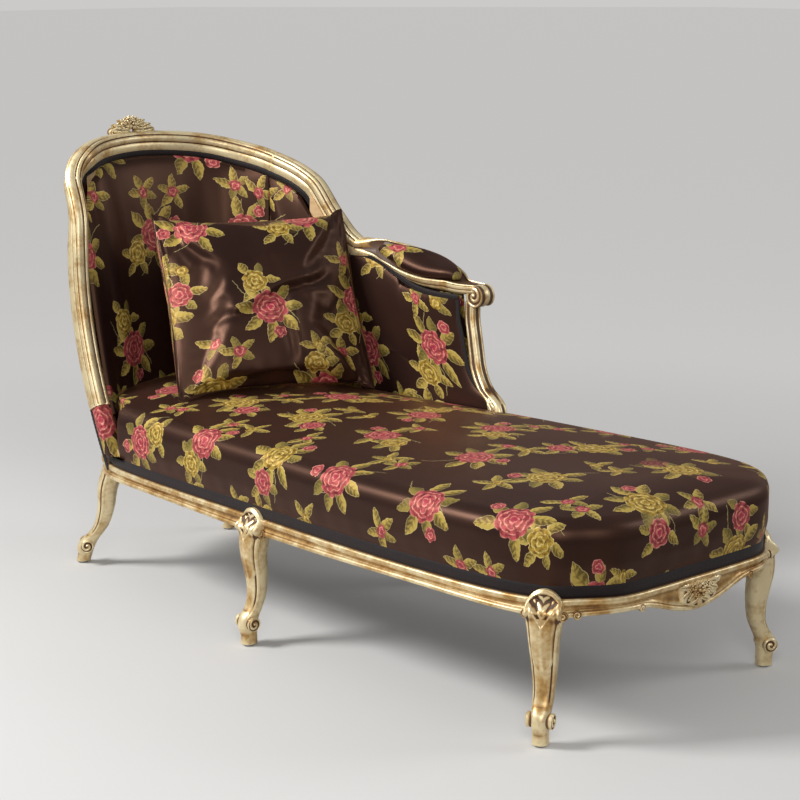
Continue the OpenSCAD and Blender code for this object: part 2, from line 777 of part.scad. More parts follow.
// Height where the outside covers end, just above the seat's braid
cover_low = rail_top + gimp_w - 1.5;
// Space that the back takes from the seat cover and its braid
back_depth = rail_thick + 2;
space_steps = 40;
function back_rim(i, inset) = rim_in(lerp(left_at, post_at, i / space_steps), inset);
post_at = front_at + 0.28;
// Station where the post's rear side stands at share v of the height
station_len = rim(8)[0] - rim(front_at)[0];
function post_rear(v) =
  let (z = max(rebate_top, min(arm_front_h - 20, lerp(rail_top, edge_h(front_at), v))))
  post_mid(z)[0] - post_wide(z) / 2;
function nearer(s, v, x) = s + (x - shell(s, v, 20)[0]) / station_len;
function post_side(v) =
  let (x = post_rear(v)) nearer(nearer(nearer(front_at, v, x), v, x), v, x);
module back_space() {
  translate([0, 0, cover_low])
    linear_extrude(seat_crown)
      polygon(concat(
        [for (i = [0 : space_steps]) back_rim(i, -40)],
        [for (i = [space_steps : -1 : 0]) back_rim(i, back_depth)]
      ));
}

// Carved crest and apron shells: lobed outlines on the show-wood
crest_carving_w = 136;
crest_carving_h = 40;
apron_carving_w = 120;
apron_carving_h = 56;
carving_t = 26;
function lobed(w, h, lobes) = [
  for (a = [0 : 7.5 : 180])
    let (r = 1 - 0.1 * abs(cos(a * lobes / 2)))
    [w / 2 * r * cos(a), h * r * pow(sin(a), 0.7)]
];
module crest_carving() {
  color(gilt)
    placed()
      difference() {
        translate([-back_lean + wood_t / 2 - carving_t / 2 - 4, 0, crest_h])
          rotate([90, 0, 90])
            linear_extrude(carving_t)
              union() {
                polygon(lobed(crest_carving_w, crest_carving_h, 7));
                translate([-crest_carving_w / 2, -12]) square([crest_carving_w, 12.5]);
              }
        crest_wood();
      }
}
module apron_carving() {
  color(gilt)
    placed()
      difference() {
        translate([seat_len - rail_thick, 0, rail_top - 14])
          rotate([90, 0, 90])
            linear_extrude(rail_thick + front_proud)
              mirror([0, 1])
                polygon(lobed(apron_carving_w, apron_carving_h, 6));
        rail_form(foot_leg_at, loop - foot_leg_at);
        translate([seat_len - 2 * rail_thick, -apron_carving_w, 0])
          cube([2 * rail_thick - 8, 2 * apron_carving_w, rail_top]);
      }
}

// Hidden posts of the back, each between two stations of the shell
post_half = 0.25;
rear_post_at = 1.6;
right_post_at = 5.2;
post_stations = [-rear_post_at, rear_post_at, right_post_at];
post_out = 9;
post_in = rail_thick - 3;
module shell_post(s, bottom, steps) {
  skin([
    for (i = [0 : steps])
      [
        for (c = [[-1, post_out], [1, post_out], [1, post_in], [-1, post_in]])
          let (
            at = s + c[0] * post_half,
            low = share_at(at, bottom),
            high = under(at, wood_w - 8)
          )
          shell(at, lerp(low, high, i / steps), c[1])
      ]
  ]);
}
// The show-wood with its braid, as the space that hidden posts and covers leave free
module wood_space(low, high) {
  qs = qs_over(low, high);
  wood_run(qs, strip(inner_a - 1, proud + 2, -wood_w - soft_gap, 2));
  wood_run(qs, strip(inner_a - 4, inner_a + 1.3, -wood_w - braid_b - 1, -wood_w));
}
sleeve_low = -0.52;
braid_qs = concat(run(-0.36, 0, 2), [for (q = rest(stile_qs)) if (q < 1) q]);
module outer_braid_space() {
  wood_run(
    concat([-0.5], braid_qs, [q_at(left_at + 0.1)]),
    strip(-4, 1.3, -wood_w - braid_b - soft_gap, -wood_w)
  );
}
module back_post(s, bottom = rebate_top) {
  color(beech)
    placed()
      difference() {
        shell_post(s, bottom, 5);
        wood_space(q_at(s - 0.6), q_at(s + 0.6));
      }
}
module stile_core() {
  wood_run(run(sleeve_low, 0, 6), strip(inner_a + 4, proud - 5, -wood_w + 4, -4));
}
module post_left() {
  color(beech)
    placed()
      difference() {
        stile_core();
        translate([0, -foot_half, 0]) cube([rear_round * 2, foot_half, rebate_top]);
      }
}
module post_rear_left() back_post(-rear_post_at);
module post_rear_right() back_post(rear_post_at);
module post_right() back_post(right_post_at);

// Tack rails between the posts, just above the seat
tack_z = seat_crown + 6;
tack_h = 40;
post_clear = post_half + 0.005;
module tack_rail(from, to) {
  color(beech)
    placed()
      difference() {
        skin([
          for (i = [0 : 8])
            let (
              s = lerp(from, to, i / 8),
              low = share_at(s, tack_z),
              high = share_at(s, tack_z + tack_h)
            )
            [
              shell(s, low, post_out), shell(s, high, post_out),
              shell(s, high, post_in), shell(s, low, post_in)
            ]
        ]);
        stile_space();
        wood_space(0, 1.1);
      }
}
module stile_space() {
  wood_run(
    concat(run(sleeve_low, 0, 6), rest(stile_qs)),
    strip(inner_a - 3, proud + 2, -wood_w - soft_gap, 4)
  );
}
module tack_rail_left() tack_rail(left_at + 0.4, -rear_post_at - post_clear);
module tack_rail_rear() tack_rail(-rear_post_at + post_clear, rear_post_at - post_clear);
module tack_rail_right() tack_rail(rear_post_at + post_clear, right_post_at - post_clear);

// Inside pads: crowned between the show-wood, the seams and the seat
braid_b = 13;
pad_low_z = rail_top + 104;
thin_arm = 20;
// Rise of the pads and their braid into the bend where the moulding becomes the arm
bend_at = 6.05;
bend_lift = 26;
function lift(s) = bend_lift * exp(-pow((s - bend_at) / 0.22, 2));
// Back of the pads, thinner along the arm where no posts stand behind them
function pad_back(s) =
  let (t = max(0, min(1, (s - right_post_at - 0.3) / 0.6)))
  rail_thick + soft_gap - thin_arm * t * t * (3 - 2 * t);
// Share of the crown at place t across a pad whose edges are drawn in
function drawn_in(t) = pow(max(0, 1 - pow(abs(2 * t - 1), 3.2)), 0.6);
high_steps = 7;
// Place on the shell under the show-wood: station and share, depth below the edge
function on_shell_near(s, p) =
  let (
    v = share_at(s, p[2]),
    a = shell(s, v, 0),
    d = (plan_of(shell(s + 0.02, v, 0)) - plan_of(a)) / 0.02
  )
  s + (plan_of(p) - plan_of(a)) * d / (d * d);
function wood_foot(s, depth) =
  let (
    p = on_wood(q_at(s), 0, -depth),
    s3 = on_shell_near(on_shell_near(on_shell_near(s, p), p), p)
  )
  [s3, share_at(s3, p[2])];
// Ring of a pad or cover: columns climb from station s0 to the show-wood's foot
function column(s0, low, foot, j, n) =
  [lerp(s0, foot[0], j / n), lerp(low, foot[1], j / n)];
module pad(from, to, steps, edge, crown, to_post = false) {
  skin([
    for (i = [0 : steps])
      let (
        t = i / steps,
        s0 = lerp(from, to, t),
        low = share_at(s0, pad_low_z),
        foot = wood_foot(s0, wood_w + braid_b + 2 * soft_gap - lift(s0)),
        last = to_post ? -(braid_b + 3 * soft_gap) / station_len : 0
      )
      [
        for (front = [0, 1], j = [0 : high_steps])
          let (
            up = front == 0 ? j : high_steps - j,
            c = column(s0, low, foot, up, high_steps),
            s = to_post ? lerp(c[0], post_side(c[1]) + last, pow(t, 6)) : c[0]
          )
          shell(
            s, c[1],
            pad_back(s)
              + front * (edge + crown * drawn_in(t) * pow(1 - pow(up / high_steps, 4), 0.7))
          )
      ]
  ], true);
}
left_in = left_at + 0.5;
wing_crown = 20;
arm_crown = 12;
pad_edge = 7;
module inside_back() {
  color(brocade)
    placed()
      difference() {
        pad(left_in, seam_at, 20, pad_edge, pad_t - rail_thick - pad_edge);
        stile_space();
        seat_form();
      }
}
module inside_wing() {
  color(brocade)
    placed()
      difference() {
        pad(seam_at + 0.02, wing_end_at, 12, pad_edge, wing_crown);
        seat_form();
      }
}
module inside_arm() {
  color(brocade)
    placed()
      difference() {
        pad(wing_end_at + 0.02, front_at, 12, pad_edge, arm_crown, true);
        seat_form();
        board_form();
        post_form(1);
        arm_gimp_form(soft_gap);
        wood_space(q_at(wing_end_at), q_at(arm_at));
      }
}

// Outside covers, which end under the show-wood or in a groove under the arm board
arm_groove = 18;
function cover_depth(s) =
  wood_w + 2 * soft_gap - (s > arm_at ? arm_groove * min(1, (s - arm_at) * 4) : 0);
cover_rows = 5;
module cover(from, to, steps, to_post = false) {
  skin([
    for (i = [0 : steps])
      let (
        t = i / steps,
        s0 = lerp(from, to, t),
        low = share_at(s0, cover_low),
        foot = wood_foot(s0, cover_depth(s0))
      )
      [
        for (back = [0, 1], j = [0 : cover_rows])
          let (
            c = column(s0, low, foot, back == 0 ? j : cover_rows - j, cover_rows),
            s = to_post ? lerp(c[0], post_side(c[1]), pow(t, 6)) : c[0]
          )
          shell(s, c[1], 3 + back * cover_t)
      ]
  ], true);
}
module outside_back() {
  color(brocade)
    placed()
      difference() {
        cover(left_in, seam_at, 22);
        stile_space();
        outer_braid_space();
        wood_space(0, q_at(seam_at));
      }
}
module outside_arm() {
  color(brocade)
    placed()
      difference() {
        cover(seam_at + 0.02, front_at, 18, true);
        board_form();
        post_form(0.5);
        wood_space(q_at(seam_at), q_at(arm_at));
      }
}

// Fabric sleeve round the lower end of the open stile
module stile_sleeve() {
  color(brocade)
    placed()
      difference() {
        wood_run(run(sleeve_low, -0.002, 6), strip(inner_a + 1, proud - 2, -wood_w + 1, -1));
        stile_core();
        translate([0, -foot_half - 100, 0])
          cube([2 * rear_round, foot_half + 100, cover_low]);
        rail_form(loop - mid_leg_at, loop - rear_leg_at);
      }
}

// Braid along the inner edge of the show-wood, and down the stile's rear side
module back_gimp() {
  color(braid)
    placed() {
      wood_run(wood_qs, strip(inner_a - 2, inner_a + 1, -wood_w - braid_b, -wood_w - soft_gap));
      difference() {
        wood_run(braid_qs, strip(-3, 1, -wood_w - braid_b, -wood_w - soft_gap));
        cube([4 * rear_round, 4 * foot_half, 2 * cover_low], center = true);
      }
    }
}
// Braid under the arm and down beside its post
module arm_gimp_form(ease = 0) {
  face = pad_edge + 1;
  bars = 10;
  back_face = 3 + ease;
  high = under(front_at, wood_w + braid_b);
  foot = share_at(front_at, seat_crown - 20);
  corners = [[0, 0], [1, 0], [1, 1], [0, 1]];
  skin([
    for (i = [0 : bars])
      let (s = lerp(arm_at - 0.05, post_side(0.9) - 0.005, i / bars))
      [
        for (c = corners)
          shell(
            s, under(s, wood_w + soft_gap - ease + c[1] * (braid_b + 2 * ease) - lift(s)),
            pad_back(s) + face + back_face * (c[0] - 1)
          )
      ]
  ]);
  skin([
    for (i = [0 : bars])
      let (v = lerp(foot, high, i / bars))
      [
        for (c = corners)
          let (s = post_side(v) - 0.005 - c[1] * (braid_b + ease) / station_len)
          shell(s, v, pad_back(s) + face + back_face * (c[0] - 1))
      ]
  ]);
}
module arm_gimp() {
  color(braid)
    placed()
      difference() {
        arm_gimp_form();
        board_form();
        seat_form();
        post_form(0.1);
        wood_space(q_at(wing_end_at), q_at(arm_at));
      }
}

// Crowned pad on the arm board, standing in the board's rim
pad_from = 1.5;
pad_to = 5.75;
pad_sides = 22;
arm_pad_rows = [[0.9, 0], [1, 0.12], [1.03, 0.25], [0.99, 0.5], [0.88, 0.72], [0.66, 0.9], [0.33, 1]];
module armrest_pad() {
  color(brocade)
    placed()
      skin([
        for (row = arm_pad_rows)
          [
            for (j = [0 : pad_sides - 1])
              let (
                a = 360 * (j + 0.5) / pad_sides,
                k = lerp(pad_from, pad_to, 0.5 + 0.5 * row[0] * sign_pow(cos(a), 0.9)),
                w = (curve(arm_rows, k, 4) / 2 - 9) * row[0] * sign_pow(sin(a), 0.75)
              )
              on_arm(k, w, row[1] * arm_pad_h - 3 + 2 * soft_gap)
          ]
      ], true);
}

// Loose cushion: a crowned square whose sides draw in between its corners
pillow_x = 469;
pillow_y = 18;
pillow_turn = -23.8;
pillow_lift = -9.3;
pillow_grid = 11;
pillow_hollow = 0.97;
pillow_fill = 0.962;
function pillow_shape(u, v, side) =
  let (
    pull = 0.055,
    x = u * (1 - pull * (1 - v * v)),
    y = v * (1 - pull * (1 - u * u)),
    h = pow((1 - pow(abs(u), 2.4)) * (1 - pow(abs(v), 2.4)), 0.55)
  )
  [pillow_w / 2 * x, side * (pillow_t / 2 * h + 1.5), pillow_w / 2 * y];
module pillow_form() {
  n = pillow_grid;
  s = n + 1;
  grid = [for (i = [0 : n]) sin(90 * (2 * i / n - 1))];
  points = [
    for (side = [-1, 1], i = [0 : n], j = [0 : n]) pillow_shape(grid[i], grid[j], side)
  ];
  top = s * s;
  function quad(a, b, c, d) = [[a, b, c], [a, c, d]];
  function at(i, j) = i * s + j;
  front = [
    for (i = [0 : n - 1], j = [0 : n - 1])
      each quad(at(i, j), at(i, j + 1), at(i + 1, j + 1), at(i + 1, j))
  ];
  back = [for (f = front) [f[2] + top, f[1] + top, f[0] + top]];
  edges = [
    for (k = [0 : n - 1])
      each concat(
        quad(at(k, 0), at(k + 1, 0), at(k + 1, 0) + top, at(k, 0) + top),
        quad(at(k + 1, n), at(k, n), at(k, n) + top, at(k + 1, n) + top),
        quad(at(0, k + 1), at(0, k), at(0, k) + top, at(0, k + 1) + top),
        quad(at(n, k), at(n, k + 1), at(n, k + 1) + top, at(n, k) + top)
      )
  ];
  polyhedron(points, concat(front, back, edges), convexity = 4);
}
module pillow_place() {
  translate([pillow_x, pillow_y, seat_crown + soft_gap])
    rotate([0, 0, 90 + pillow_turn])
      rotate([-pillow_lean, 0, 0])
        translate([0, 0, pillow_w / 2 + pillow_lift]) children();
}
module pillow_cover() {
  color(brocade)
    placed()
      pillow_place()
        difference() {
          pillow_form();
          scale(pillow_hollow) pillow_form();
        }
}
module pillow_insert() {
  color("white") placed() pillow_place() scale(pillow_fill) pillow_form();
}

// Everything is moved from the bench frame to the middle of the finished piece
front_proud = 8;
mid_x = (seat_len + front_proud - back_lean - proud) / 2;
left_reach = max([
  for (i = [0 : leg_levels], q = leg_ring(i / leg_levels, [0, 0], 0))
    let (h = rim_heading(-mid_leg_at)) -rim(-mid_leg_at)[1] - sin(h) * q[0] - cos(h) * q[1]
]);
right_reach = max([
  for (i = [0 : arm_steps], q = board_ring(arm_last * i / arm_steps)) q[1]
]);
mid_y = (right_reach - left_reach) / 2;
module placed() {
  translate([-mid_x, -mid_y, 0]) children();
}

rail_rear();
rail_right_rear();
rail_right_front();
rail_foot();
rail_left_front();
rail_left_rear();
leg_rear_right();
leg_mid_right();
leg_foot_right();
leg_foot_left();
leg_mid_left();
leg_rear_left();
foot_glides();
corner_blocks();
corner_screws();
bearer_mid();
bearer_foot();
webbing_long();
webbing_cross();
seat_foam();
seat_cover();
seat_gimp();
dust_cover();
stile_left();
crest_rail();
sweep_rail();
wood_dowels();
arm_board();
arm_post();
crest_carving();
apron_carving();
post_left();
post_rear_left();
post_rear_right();
post_right();
tack_rail_left();
tack_rail_rear();
tack_rail_right();
inside_back();
inside_wing();
inside_arm();
outside_back();
outside_arm();
stile_sleeve();
back_gimp();
arm_gimp();
armrest_pad();
pillow_cover();
pillow_insert();
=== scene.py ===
"""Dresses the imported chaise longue: carved gilt show-wood, brocade covers, braid and a loose cushion."""

import logging
import math
from dataclasses import dataclass, field
from enum import Enum
from functools import cached_property
from typing import Any, Callable, Sequence

import bmesh
import bpy
import numpy as np
from mathutils import Matrix, Vector
from mathutils.bvhtree import BVHTree


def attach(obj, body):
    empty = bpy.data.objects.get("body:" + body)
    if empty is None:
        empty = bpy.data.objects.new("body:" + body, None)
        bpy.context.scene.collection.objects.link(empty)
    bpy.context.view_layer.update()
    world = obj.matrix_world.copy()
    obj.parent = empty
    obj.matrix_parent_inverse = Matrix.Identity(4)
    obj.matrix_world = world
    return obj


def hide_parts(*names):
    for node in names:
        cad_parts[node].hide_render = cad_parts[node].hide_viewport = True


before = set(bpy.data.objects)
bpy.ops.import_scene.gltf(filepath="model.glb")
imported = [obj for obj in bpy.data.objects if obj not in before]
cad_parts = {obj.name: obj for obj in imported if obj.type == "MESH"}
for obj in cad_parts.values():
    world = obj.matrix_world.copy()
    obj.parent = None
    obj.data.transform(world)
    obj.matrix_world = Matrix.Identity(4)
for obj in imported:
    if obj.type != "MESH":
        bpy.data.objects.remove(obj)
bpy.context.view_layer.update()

logging.basicConfig(level=logging.INFO, format="%(message)s")
log = logging.getLogger("chaise")
Array = np.ndarray


class Body(Enum):
    """The two bodies that pieces ride on."""

    CHAISE = "chaise"
    CUSHION = "cushion"


class Slot(Enum):
    """The record's material slots."""

    GILT = "gilt_wood"
    BROCADE = "brocade"
    BRAID = "braid"
    BEECH = "beech"
    WEBBING = "webbing"
    FILLING = "filling"
    CAMBRIC = "cambric"
    STEEL = "steel"


# ---------------------------------------------------------------- frame lines


@dataclass(frozen=True)
class Sizes:
    """Sizes of the chaise in millimetres, as its construction source names them."""

    seat_len: float = 1745
    rail_top: float = 290
    rail_face: float = 38
    rail_thick: float = 34
    rebate_h: float = 34
    rebate_step: float = 12
    apron_drop: float = 30
    rear_half: float = 296
    rear_round: float = 330
    mid_half: float = 340
    foot_half: float = 368
    foot_leg_half: float = 332
    foot_flat: float = 120
    foot_leg_back: float = 100
    leg_spacing: float = 845
    block_w: float = 62
    block_d: float = 50
    arch_h: float = 13
    rear_rake: float = 100
    toe_reach: float = 12
    ankle: float = 31
    glide_t: float = 4
    crest_h: float = 1035
    arm_h: float = 785
    arm_front_h: float = 710
    back_lean: float = 63
    wing_h: float = 775
    wing_lean: float = 161
    stile_z: float = 424
    wood_w: float = 44
    wood_t: float = 40
    pad_t: float = 92
    cover_t: float = 5
    arm_board_w: float = 94
    arm_board_t: float = 24
    arm_pad_h: float = 30
    scroll_r: float = 26
    scroll_w: float = 48
    arm_post_t: float = 27
    seat_crown: float = 455
    seat_dome: float = 24
    seat_swell: float = 10
    gimp_w: float = 20
    pillow_w: float = 480
    pillow_t: float = 120
    pillow_lean: float = 31.6
    gap: float = 0.3
    proud: float = 6
    braid_b: float = 13
    mid_x: float = 842.0
    mid_y: float = 17.6

    @property
    def rail_low(self) -> float:
        """Height of the lower edge of the side rails."""
        return self.rail_top - self.rail_face

    @property
    def rebate_top(self) -> float:
        """Height of the tacking rebate."""
        return self.rail_top + self.rebate_h

    @property
    def foot_leg_x(self) -> float:
        """Place of the foot-end legs along the seat."""
        return self.seat_len - self.foot_leg_back

    @property
    def mid_leg_x(self) -> float:
        """Place of the middle legs along the seat."""
        return self.foot_leg_x - self.leg_spacing

    @property
    def edge_z(self) -> float:
        """Height of the rolled edge of the seat."""
        return self.seat_crown - self.seat_dome

    @property
    def inner_a(self) -> float:
        """Inner face of the show-wood, measured outwards from the back shell."""
        return self.proud - self.wood_t


def mix(a: Any, b: Any, t: Any) -> Any:
    """Value between a and b at share t."""
    return a + (b - a) * t


def ease(t: Any) -> Any:
    """Share t made to start and end gently, from 0 to 1."""
    t = np.clip(t, 0.0, 1.0)
    return t * t * (3 - 2 * t)


def unit(v: Array) -> Array:
    """Vectors v brought to length 1."""
    return v / np.maximum(np.linalg.norm(v, axis=-1, keepdims=True), 1e-12)


def sign_pow(v: Any, e: float) -> Any:
    """Power e of v that keeps v's sign."""
    return np.sign(v) * np.abs(v) ** e


def bell(x: Any, width: float) -> Any:
    """Bell curve, 1 where x is nought and 1/e at the width."""
    return np.exp(-((x / width) ** 2))


def arc_of(points: Array) -> Array:
    """Length of a polyline up to each of its points."""
    return np.concatenate([[0], np.cumsum(np.linalg.norm(np.diff(points, axis=0), axis=1))])


def at_level(plan: Array, height: float) -> Array:
    """Plan points as points at one height."""
    return np.concatenate([plan, np.full((len(plan), 1), height)], 1)


class Rows:
    """Smooth curves through rows of numbers, each row led by its station."""

    def __init__(self, rows: Sequence[Sequence[float]]) -> None:
        """Keeps the rows.

        Args:
            rows: Rows of a station and the values there, stations rising.
        """
        table = np.array(rows, float)
        self.x, self.y = table[:, 0], table[:, 1:]
        n = len(self.x)
        low, high = np.maximum(np.arange(n) - 1, 0), np.minimum(np.arange(n) + 1, n - 1)
        self.slope = (self.y[high] - self.y[low]) / (self.x[high] - self.x[low])[:, None]

    def at(self, s: Any) -> Array:
        """Values of every column at stations s.

        Args:
            s: Stations, of any shape.

        Returns:
            The values, with the columns last.
        """
        s = np.asarray(s, float)
        i = np.clip(np.searchsorted(self.x, s, side="right") - 1, 0, len(self.x) - 2)
        h = (self.x[i + 1] - self.x[i])[..., None]
        t = (s - self.x[i])[..., None] / h
        a, b = self.y[i], self.y[i + 1]
        return (
            a * (1 + 2 * t) * (1 - t) ** 2
            + self.slope[i] * h * t * (1 - t) ** 2
            + b * t * t * (3 - 2 * t)
            + self.slope[i + 1] * h * t * t * (t - 1)
        )


@dataclass(frozen=True)
class SeatPlan:
    """Outline of the seat rails, counted in stations round the seat."""

    size: Sizes
    loop: int = 30
    rear_leg: int = 3
    mid_leg: int = 7
    foot_leg: int = 11
    rear_curve: float = 0.909

    @property
    def legs(self) -> dict[str, int]:
        """Stations of the legs on the right side; those on the left are minus these."""
        return {"rear": self.rear_leg, "mid": self.mid_leg, "foot": self.foot_leg}

    @cached_property
    def rows(self) -> Rows:
        """Outer edge on one side, from the rear end to the foot end.

        Returns:
            The curve of places along and across the seat.
        """
        z = self.size

        def rear(deg: float) -> tuple[float, float]:
            """Point of the rounded rear end at an angle.

            Args:
                deg: Angle in degrees.

            Returns:
                Its places along and across the seat.
            """
            a = math.radians(deg)
            return (
                z.rear_round * (1 - math.cos(a) ** self.rear_curve),
                z.rear_half * math.sin(a) ** self.rear_curve,
            )

        first = rear(20)
        return Rows(
            [
                (-1, first[0], -first[1]),
                (0, 0, 0),
                (1, *first),
                (2, *rear(38)),
                (3, *rear(52)),
                (4, *rear(72)),
                (5, z.rear_round + 30, z.rear_half + 10),
                (6, mix(z.rear_round, z.mid_leg_x, 0.53), mix(z.rear_half, z.mid_half, 0.65)),
                (7, z.mid_leg_x, z.mid_half),
                (8, z.mid_leg_x + z.leg_spacing * 0.33, mix(z.mid_half, z.foot_half, 0.7)),
                (9, z.mid_leg_x + z.leg_spacing * 0.61, z.foot_half),
                (10, z.mid_leg_x + z.leg_spacing * 0.85, z.foot_half - 5),
                (11, z.foot_leg_x, z.foot_leg_half),
                (12, z.seat_len - z.foot_leg_back * 0.45, mix(z.foot_leg_half, z.foot_flat, 0.275)),
                (13, z.seat_len - z.foot_leg_back * 0.08, mix(z.foot_leg_half, z.foot_flat, 0.565)),
                (14, z.seat_len, z.foot_flat),
                (15, z.seat_len, 0),
                (16, z.seat_len, -z.foot_flat),
            ]
        )

    def wrap(self, s: Any) -> Array:
        """Stations s brought between minus half a loop and half a loop."""
        s = np.asarray(s, float)
        return s - self.loop * np.floor((s + self.loop / 2) / self.loop)

    def rim(self, s: Any) -> Array:
        """Points of the outer edge at stations s.

        Args:
            s: Stations.

        Returns:
            The points in the plan.
        """
        w = self.wrap(s)
        p = self.rows.at(np.abs(w))
        return np.stack([p[..., 0], np.where(w < 0, -1, 1) * p[..., 1]], -1)

    def normal(self, s: Any) -> Array:
        """Outward directions of the outer edge at stations s.

        Args:
            s: Stations.

        Returns:
            The directions in the plan.
        """
        s = np.asarray(s, float)
        d = self.rim(s + 0.02) - self.rim(s - 0.02)
        return unit(np.stack([-d[..., 1], d[..., 0]], -1))

    def inset(self, s: Any, depth: Any) -> Array:
        """Points of the edge at stations s moved inwards by depth."""
        return self.rim(s) - np.asarray(depth, float)[..., None] * self.normal(s)

    def near(self, s: Any, at: float, half: float, soft: float = 8.0) -> Array:
        """Share of closeness to a station.

        Args:
            s: Stations.
            at: The station that is looked for.
            half: Half width of the full share, in millimetres.
            soft: Distance over which the share falls to nothing.

        Returns:
            1 within half of the station and 0 beyond half plus soft.
        """
        gap = np.linalg.norm(self.rim(s) - self.rim(at), axis=-1)
        return 1 - ease((gap - half) / soft)


@dataclass(frozen=True)
class BackShell:
    """The leaning shell of the back, from the seat rail to the show-wood's edge."""

    size: Sizes
    plan: SeatPlan
    left_at: float = -4.2
    stile_top: float = -3
    joint_at: float = 4
    seam_at: float = 3.8
    wing_end: float = 5.4
    arm_at: float = 5.9
    front_at: float = 7
    bend_at: float = 6.05
    bend_lift: float = 26
    right_post: float = 5.2

    @cached_property
    def rows(self) -> Rows:
        """Lean, flare and height of the show-wood's edge at each station.

        Returns:
            The curves through them.
        """
        z, lean, wing = self.size, self.size.back_lean, self.size.wing_lean
        to_wing = lambda t: mix(z.crest_h, z.wing_h, t)
        to_arm = lambda t: mix(z.crest_h, z.arm_h, t)
        return Rows(
            [
                (self.left_at, wing, -20, z.wing_h),
                (-3.8, wing - 35, -14, to_wing(0.712)),
                (-3.4, wing - 54, -2, to_wing(0.508)),
                (-3, wing - 65, 12, to_wing(0.346)),
                (-2.5, wing - 74, 8, to_wing(0.185)),
                (-2, wing - 86, -2, to_wing(0.088)),
                (-1, lean + 2, 0, to_wing(0.027)),
                (0, lean, 0, z.crest_h),
                (1, lean + 8, 0, to_arm(0.016)),
                (2, lean + 25, 6, to_arm(0.052)),
                (3, lean + 20, 26, to_arm(0.12)),
                (4, lean + 18, 30, to_arm(0.228)),
                (5, lean + 42, 37, to_arm(0.436)),
                (5.5, lean + 74, 40, to_arm(0.784)),
                (5.9, lean + 88, 32, z.arm_h),
                (6.4, lean - 10, 22, z.arm_front_h + 26),
                (7, lean - 55, 20, z.arm_front_h + 20),
                (8, lean - 60, 20, z.arm_front_h + 20),
            ]
        )

    @cached_property
    def front_step(self) -> float:
        """Length of the rim from the front of the back to the next station."""
        return self.plan.rim(self.front_at + 1)[0] - self.plan.rim(self.front_at)[0]

    def edge_h(self, s: Any) -> Array:
        """Height of the edge at stations s."""
        return self.rows.at(s)[..., 2]

    def point(self, s: Any, v: Any, inset: Any) -> Array:
        """Points of the shell.

        Args:
            s: Stations.
            v: Shares of the height, 0 at the rail and 1 at the edge.
            inset: Depths inwards from the shell.

        Returns:
            The points in the bench frame.
        """
        s, v, inset = np.broadcast_arrays(*(np.asarray(x, float) for x in (s, v, inset)))
        row, n, p = self.rows.at(s), self.plan.normal(s), self.plan.rim(s)
        rise = 1 - np.clip(1 - v, 0, None) ** 1.8
        side = np.where(s < 0, -1, 1)
        return np.stack(
            [
                p[..., 0] - row[..., 0] * rise - inset * n[..., 0],
                p[..., 1] + side * row[..., 1] * v - inset * n[..., 1],
                mix(self.size.rail_top, row[..., 2], v),
            ],
            -1,
        )

    def share(self, s: Any, height: Any) -> Array:
        """Share of the height that stands at a height above the floor."""
        return (height - self.size.rail_top) / (self.edge_h(s) - self.size.rail_top)

    def under(self, s: Any, depth: Any) -> Array:
        """Share of the height at a depth square to the edge.

        Args:
            s: Stations.
            depth: Depths in millimetres.

        Returns:
            The shares, 0 at the rail and 1 at the edge.
        """
        s = np.asarray(s, float)
        run = self.point(s + 0.05, 1, 0)[..., :2] - self.point(s - 0.05, 1, 0)[..., :2]
        steep = (self.edge_h(s + 0.05) - self.edge_h(s - 0.05)) / np.linalg.norm(run, axis=-1)
        fall = np.minimum(150, depth * np.sqrt(1 + steep**2))
        return 1 - fall / (self.edge_h(s) - self.size.rail_top)

    def lift(self, s: Any) -> Array:
        """Rise of the pads and the braid into the bend before the arm."""
        return self.bend_lift * bell(np.asarray(s) - self.bend_at, 0.22)

    def pad_back(self, s: Any) -> Array:
        """Depth of the rear face of the pads, thinner along the arm."""
        t = (np.asarray(s) - self.right_post - 0.3) / 0.6
        return self.size.rail_thick + self.size.gap - 20 * ease(t)


